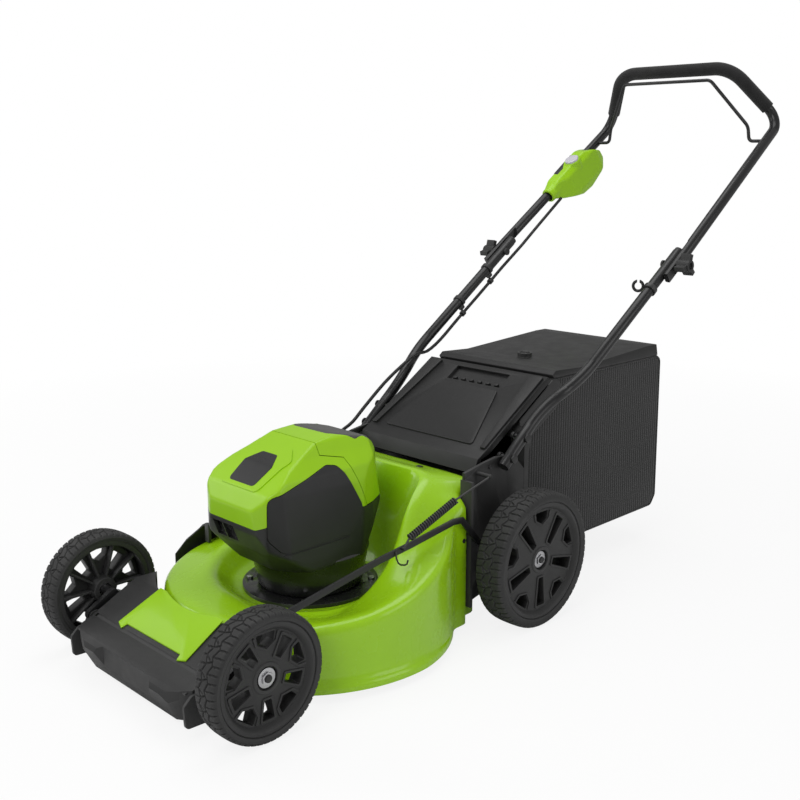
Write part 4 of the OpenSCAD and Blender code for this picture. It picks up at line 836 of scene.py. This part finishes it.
def sag(v):
    """How the cloth moves at one point of the bag, in mm."""
    x, y, z = v.co.x * 1000, v.co.y * 1000 - AXLE_Y, v.co.z * 1000
    u, w, a = share(y, BAG_Y, BAG_LENGTH), share(z, BAG_Z, BAG_HEIGHT), share(x, -BAG_HALF, 2 * BAG_HALF)
    shift = Vector((0, 0, 0))
    if abs(v.normal.x) > 0.5:
        well = (math.sin(math.pi * u) * math.sin(math.pi * w)) ** 0.7
        fold = math.sin(u * 9 + w * 3.1) * 1.3 + math.sin(u * 4.2 - w * 7.3 + 1.1) * 1.5
        shift.x -= math.copysign(SIDE_IN * well + fold * well, x)
    elif v.normal.y > 0.5:
        shift.y += END_OUT * math.sin(math.pi * a) * math.sin(math.pi * w) ** 0.7
    elif v.normal.z < -0.5:
        shift.z -= END_OUT * math.sin(math.pi * a) * math.sin(math.pi * u) ** 0.7
    return shift


def in_mouth(face):
    x, y, z = face.calc_center_median() * 1000
    return face.normal.y < -0.8 and y - AXLE_Y < MOUTH_Y and MOUTH_Z[0] < z < MOUTH_Z[1] and abs(x) < MOUTH_HALF


bag = softened(prism(BAG, -BAG_HALF, BAG_HALF, "yzx"), voxel=6, rounds=4)
cloth = bmesh.new()
cloth.from_mesh(bag.data)
cloth.normal_update()
for v, shift in [(v, sag(v)) for v in cloth.verts]:
    v.co += shift / 1000
bmesh.ops.delete(cloth, geom=[f for f in cloth.faces if in_mouth(f)], context="FACES")
cloth.to_mesh(bag.data)
cloth.free()
wall = bag.modifiers.new("wall", "SOLIDIFY")
wall.thickness, wall.offset = CLOTH / 1000, -1
as_piece(baked(bag), "bag_sewn", "bag_weave", "bag", "bag_fabric", "bag_fabric", 50)
seam_line = smooth_outline(grown(BAG, -2.4), 13)
seams = [tube_mesh([(side * (BAG_HALF - PIPING_IN), y, z) for y, z in seam_line], PIPING_R, closed=True)
         for side in (-1, 1)]
piece("bag_piping", placed(joined(*seams)), "piping", "bag", "bag_fabric")
for side, side_name in ((1, "left"), (-1, "right")):
    cheek = prism(SHOULDER, side * (BAG_HALF - CHEEK_HALF), side * (BAG_HALF + CHEEK_HALF), "yzx")
    softened(cheek, voxel=1.4, rounds=4)
    as_piece(cheek, f"bag_cheek_{side_name}", "cheek_black", "bag", "black_plastic")


# ---------------------------------------------------------------- wheels
# Radius, tread height, width, where the hub ends, the inner face's x, the axle's y, tread blocks, steps round
WHEELS = {
    "front": dict(tyre_r=101.6, tread=14, w=50, hub_end=37, inner_x=209, axle_y=-605.2, blocks=26,
                  steps=520),
    "rear": dict(tyre_r=127, tread=18, w=59, hub_end=44, inner_x=222, axle_y=0, blocks=30, steps=600),
}
WINDOWS = 5
HUB_R, BEARING_R, FLANGE_R = 20, 12, 15.5
# Grooves of one tread block, from (arc, place across) to the same; the arc repeats after 1
GROOVES = [((0, 0.30), (0.5, 0.42)), ((0.5, 0.42), (1, 0.30)), ((0, 0.58), (0.5, 0.70)),
           ((0.5, 0.70), (1, 0.58)), ((0.5, 0.42), (0.28, 0.62)), ((0.0, 0.30), (0.22, 0.50)),
           ((0.0, 0.30), (0.12, 0.0)), ((0.5, 0.42), (0.62, 0.0)), ((0.5, 0.70), (0.4, 1.0)),
           ((1.0, 0.58), (0.9, 1.0))]
GROOVE_DEEP, GROOVE_HALF, GROOVE_SLOPE = 2.4, 1.5, 0.7


def rim_mesh(rim_r, w, hub_end):
    """A rim in its own frame (axis Z, outwards): web with raised frames, barrel, boss and ribs."""
    slot = [(HUB_R + 14, -6), (rim_r - 22, -11), (rim_r - 22, 11), (HUB_R + 14, 6)]
    window = [(rim_r - 40, 0), (rim_r - 32, -14), (rim_r - 18, -17), (rim_r - 18, 17), (rim_r - 32, 14)]
    border = [(HUB_R + 10.5, -9.5), (rim_r - 17.5, -15), (rim_r - 17.5, 15), (HUB_R + 10.5, 9.5)]
    brow = [(rim_r - 19, -24), (rim_r - 34, -19.5), (rim_r - 45, 0), (rim_r - 34, 19.5), (rim_r - 19, 24),
            (rim_r - 19, 20.5), (rim_r - 31.5, 16.5), (rim_r - 41.2, 0), (rim_r - 31.5, -16.5),
            (rim_r - 19, -20.5)]
    rib = [(HUB_R - 1, -1.6), (rim_r - 8, -1.6), (rim_r - 8, 1.6), (HUB_R - 1, 1.6)]
    barrel = [(rim_r - 9, 4), (rim_r - 6, 3.2), (rim_r - 0.1, 4), (rim_r - 0.1, w - 4), (rim_r - 1.5, w - 3),
              (rim_r - 6, w - 2.6), (rim_r - 9, w - 4), (rim_r - 12, w - 8), (rim_r - 14, w - 10),
              (rim_r - 14, w - 14), (rim_r - 9.5, w * 0.5)]
    bore = BEARING_R + 0.05
    boss = [(bore, 4), (HUB_R, 4), (HUB_R + 1, 5), (HUB_R + 5, w * 0.46), (HUB_R + 6, w - 11),
            (HUB_R + 4, w - 8.6), (HUB_R + 1.5, w - 8), (FLANGE_R + 3.5, w - 8.4), (FLANGE_R + 2.5, w - 10),
            (FLANGE_R + 2, hub_end), (bore, hub_end)]
    holes, frames = [], []
    for i in range(WINDOWS):
        turn, next_turn = i * 360 / WINDOWS, (i + 0.5) * 360 / WINDOWS
        opening = spin(rounded(slot, 2.5), turn)
        holes += [opening, spin(rounded(window, 2.5), next_turn)]
        frames += [[spin(rounded(border, 4), turn), opening], [spin(rounded(brow, 1), next_turn)]]
    parts = [plate_mesh([circle(rim_r - 11, 96), circle(HUB_R + 3, 48)] + holes, w * 0.46, w - 10, 1.2)]
    parts += [plate_mesh(loops, w - 11, w - 8.2, 0.7) for loops in frames]
    parts += [lathe(barrel), lathe(boss, 64)]
    parts += [plate_mesh([spin(rib, (i + 0.5) * 180 / WINDOWS)], w * 0.2, w * 0.5, 0.5)
              for i in range(2 * WINDOWS)]
    return joined(*parts)


def groove_gap(s, v, period):
    """Distance to the nearest groove at arc s and place v across (0 to 1), in tyre widths."""
    best = np.full(s.shape, 9.0)
    for (x0, y0), (x1, y1) in GROOVES:
        for shift in (-1, 0, 1):
            ax, bx = (x0 + shift) * period, (x1 + shift) * period
            dx, dy = bx - ax, y1 - y0
            t = np.clip(((s - ax) * dx + (v - y0) * dy) / (dx * dx + dy * dy), 0, 1)
            best = np.minimum(best, np.hypot(s - ax - t * dx, v - y0 - t * dy))
    return best


def tyre_mesh(tyre_r, tread, w, blocks, steps):
    """A tyre whose tread carries zigzag grooves that run out over the shoulders."""
    rim_r = tyre_r - tread
    side = [(rim_r, 3), (rim_r + 1, 1.2), (rim_r + 4, 0.2), (rim_r + tread * 0.45, 0.0),
            (tyre_r - 7, 0.6), (tyre_r - 4, 1.8), (tyre_r - 2.2, 3.6)]
    across = 44
    crown = [(tyre_r - 1.4 * abs(2 * k / across - 1) ** 3, 5 + (w - 10) * k / across)
             for k in range(across + 1)]
    profile = side + crown + [(r, w - z) for r, z in reversed(side)]
    profile += [(rim_r, w - 5), (rim_r, 5)]
    r0, z0 = np.array(profile).T
    turn = np.arange(steps) * 2 * math.pi / steps
    arc = (turn * blocks / (2 * math.pi)) % 1.0
    period = 2 * math.pi * tyre_r / blocks / w
    s, v = np.meshgrid(arc * period, z0 / w, indexing="ij")
    groove = np.clip((GROOVE_HALF - groove_gap(s, v, period) * w) / GROOVE_SLOPE, 0, 1)
    on_tread = np.clip((r0 - (tyre_r - 6)) / 2.5, 0, 1)
    r = r0[None, :] - GROOVE_DEEP * groove * on_tread[None, :]
    x, y = r * np.cos(turn)[:, None], r * np.sin(turn)[:, None]
    verts = np.stack([x, y, np.broadcast_to(z0, r.shape)], -1).reshape(-1, 3).tolist()
    return verts, ring_faces(steps, len(profile))


def on_wheel(mesh, side, inner_x, y, z):
    """A mesh from the wheel's own frame to its place; side is 1 left, -1 right."""
    return [at(side * (c + inner_x), b + y, z - a) for a, b, c in mesh[0]], mesh[1]


for end, d in WHEELS.items():
    tyre_r, w = d["tyre_r"], d["w"]
    rim = rim_mesh(tyre_r - d["tread"], w, d["hub_end"])
    tyre = tyre_mesh(tyre_r, d["tread"], w, d["blocks"], d["steps"])
    for side, side_name in ((1, "left"), (-1, "right")):
        for part, mesh, mat, angle in (("rim", rim, "rim_plastic", 30), ("tyre", tyre, "tyre_rubber", 28)):
            piece(f"{part}_{end}_{side_name}", on_wheel(mesh, side, d["inner_x"], d["axle_y"], tyre_r), mat,
                  f"wheel_{end}_{side_name}", mat, f"{end}_{side_name}_{part}", angle)

# ---------------------------------------------------------------- CAD nodes whose shape stays
# By material and slot: each node and the width of its rounded edges, mm
KEPT = {
    ("black_plastic", "black_plastic"): {"rear_body": 1.2, "front_bumper": 4.0, "battery_tray": 0.8,
        "battery_pack": 2.0, "axle_bushes": 0.3, "cable_clips": 0.5, "side_flap": 1.5,
        "fold_knob_left": 1.0, "fold_knob_right": 1.0, "bag_frame": 1.0},
    ("lime_plastic", "lime_plastic"): {"badge_panel": 1.2},
    ("gloss_black", "cast_aluminium"): {"motor_ring": 1.2},
    ("key_yellow", "yellow_plastic"): {"safety_key": 1.0},
    ("copper", "motor_steel"): {"motor_stator": 0.4},
    ("alloy", "motor_steel"): {"motor_rotor": 0.4},
    ("bearing", "bearing_steel"): {"motor_bearings": 0.4, "front_bearings": 0.4, "rear_bearings": 0.4},
    ("board", "board"): {"control_board": 0.4},
    ("alloy", "cast_aluminium"): {"blade_carrier": 0.8},
    ("blade", "blade_steel"): {"blade": 0.5},
    ("zinc", "zinc_steel"): {"blade_bolt": 0.5, "front_hub_nuts": 0.6, "rear_hub_nuts": 0.6,
        "deck_bolts": 0.4},
    ("black_steel", "black_steel"): {"front_axle": 0.6, "rear_axle": 0.6, "height_lever": 1.0,
        "link_rod": 0.8, "flap_hinge_rod": 0.3, "side_flap_hinge": 0.5},
    ("tube", "black_tube"): {"lower_tube_left": 0.5, "lower_tube_right": 0.5, "handle_upper": 0.5,
        "bail": 0.3},
    ("black_steel", "zinc_steel"): {"handle_bolts": 0.6},
    ("cable", "cable_rubber"): {"cable_lower": 0, "cable_upper": 0, "cable_fold": 0},
    ("dark_wire", "black_steel"): {"rope_guide": 0.3},
    ("flap", "black_plastic"): {"rear_flap": 2.5},
    ("foam", "foam"): {"foam_grip": 1.0},
    ("bag_lid", "grey_plastic"): {"bag_cover": 4.0},
}
for (mat, slot), widths in KEPT.items():
    for node, width in widths.items():
        finish_node(node, mat, width)

# ---------------------------------------------------------------- floor, light and world
FLOOR_HALF, NEAR, FAR = 9, 1.0, 2.6         # m; the floor fades to white between NEAR and FAR
FLOOR_TONE, SKY_POWER = 0.86, 0.40
AIM = Vector((0, -0.1, 0.35))
LAMPS = {"key": ((0.6, -2.9, 3.0), 2.0, 46), "top": ((-0.4, 0.2, 3.2), 2.4, 40),
         "fill": ((3.2, 0.8, 1.6), 1.8, 18), "left": ((-2.6, -1.8, 1.8), 1.8, 20)}      # place, size, watts

floor_mesh = bpy.data.meshes.new("floor")
floor_mesh.from_pydata([(x * FLOOR_HALF, y * FLOOR_HALF, 0) for x, y in ((-1, -1), (1, -1), (1, 1), (-1, 1))],
                       [], [(0, 1, 2, 3)])
floor = bpy.data.objects.new("floor", floor_mesh)
bpy.context.scene.collection.objects.link(floor)
ground = bpy.data.materials.new("floor")
ground.use_nodes = True
ground.node_tree.nodes.clear()
g = Tree(ground.node_tree)
matt = g.set(g.node("ShaderNodeBsdfDiffuse"), Color=(FLOOR_TONE, FLOOR_TONE, FLOOR_TONE, 1))
glow = g.set(g.node("ShaderNodeEmission"), Strength=1.0)
reach = g.node("ShaderNodeVectorMath", operation="LENGTH")
g.link(g.node("ShaderNodeTexCoord").outputs["Object"], reach.inputs[0])
fade = g.ramp(reach.outputs["Value"], NEAR, FAR, FLOOR_TONE, 1.0)
blend = g.node("ShaderNodeMixShader")
for socket, value in zip(blend.inputs, (g.math("MULTIPLY", g.seen(), fade), matt.outputs[0], glow.outputs[0])):
    g.link(value, socket)
g.link(blend.outputs[0], g.node("ShaderNodeOutputMaterial").inputs["Surface"])
floor_mesh.materials.append(ground)

world = bpy.data.worlds.new("studio")
world.use_nodes = True
bpy.context.scene.world = world
w = Tree(world.node_tree)
w.set(w.tree.nodes["Background"], Color=(1, 1, 1, 1), Strength=w.ramp(w.seen(), 0, 1, SKY_POWER, 1.0))

for name, (place, size, watts) in LAMPS.items():
    lamp = bpy.data.lights.new(name, "AREA")
    lamp.energy, lamp.size = watts, size
    holder = bpy.data.objects.new(name, lamp)
    holder.location = place
    holder.rotation_mode = "QUATERNION"
    holder.rotation_quaternion = (AIM - Vector(place)).to_track_quat("-Z", "Y")
    bpy.context.scene.collection.objects.link(holder)

bpy.context.scene.view_settings.view_transform = "Standard"
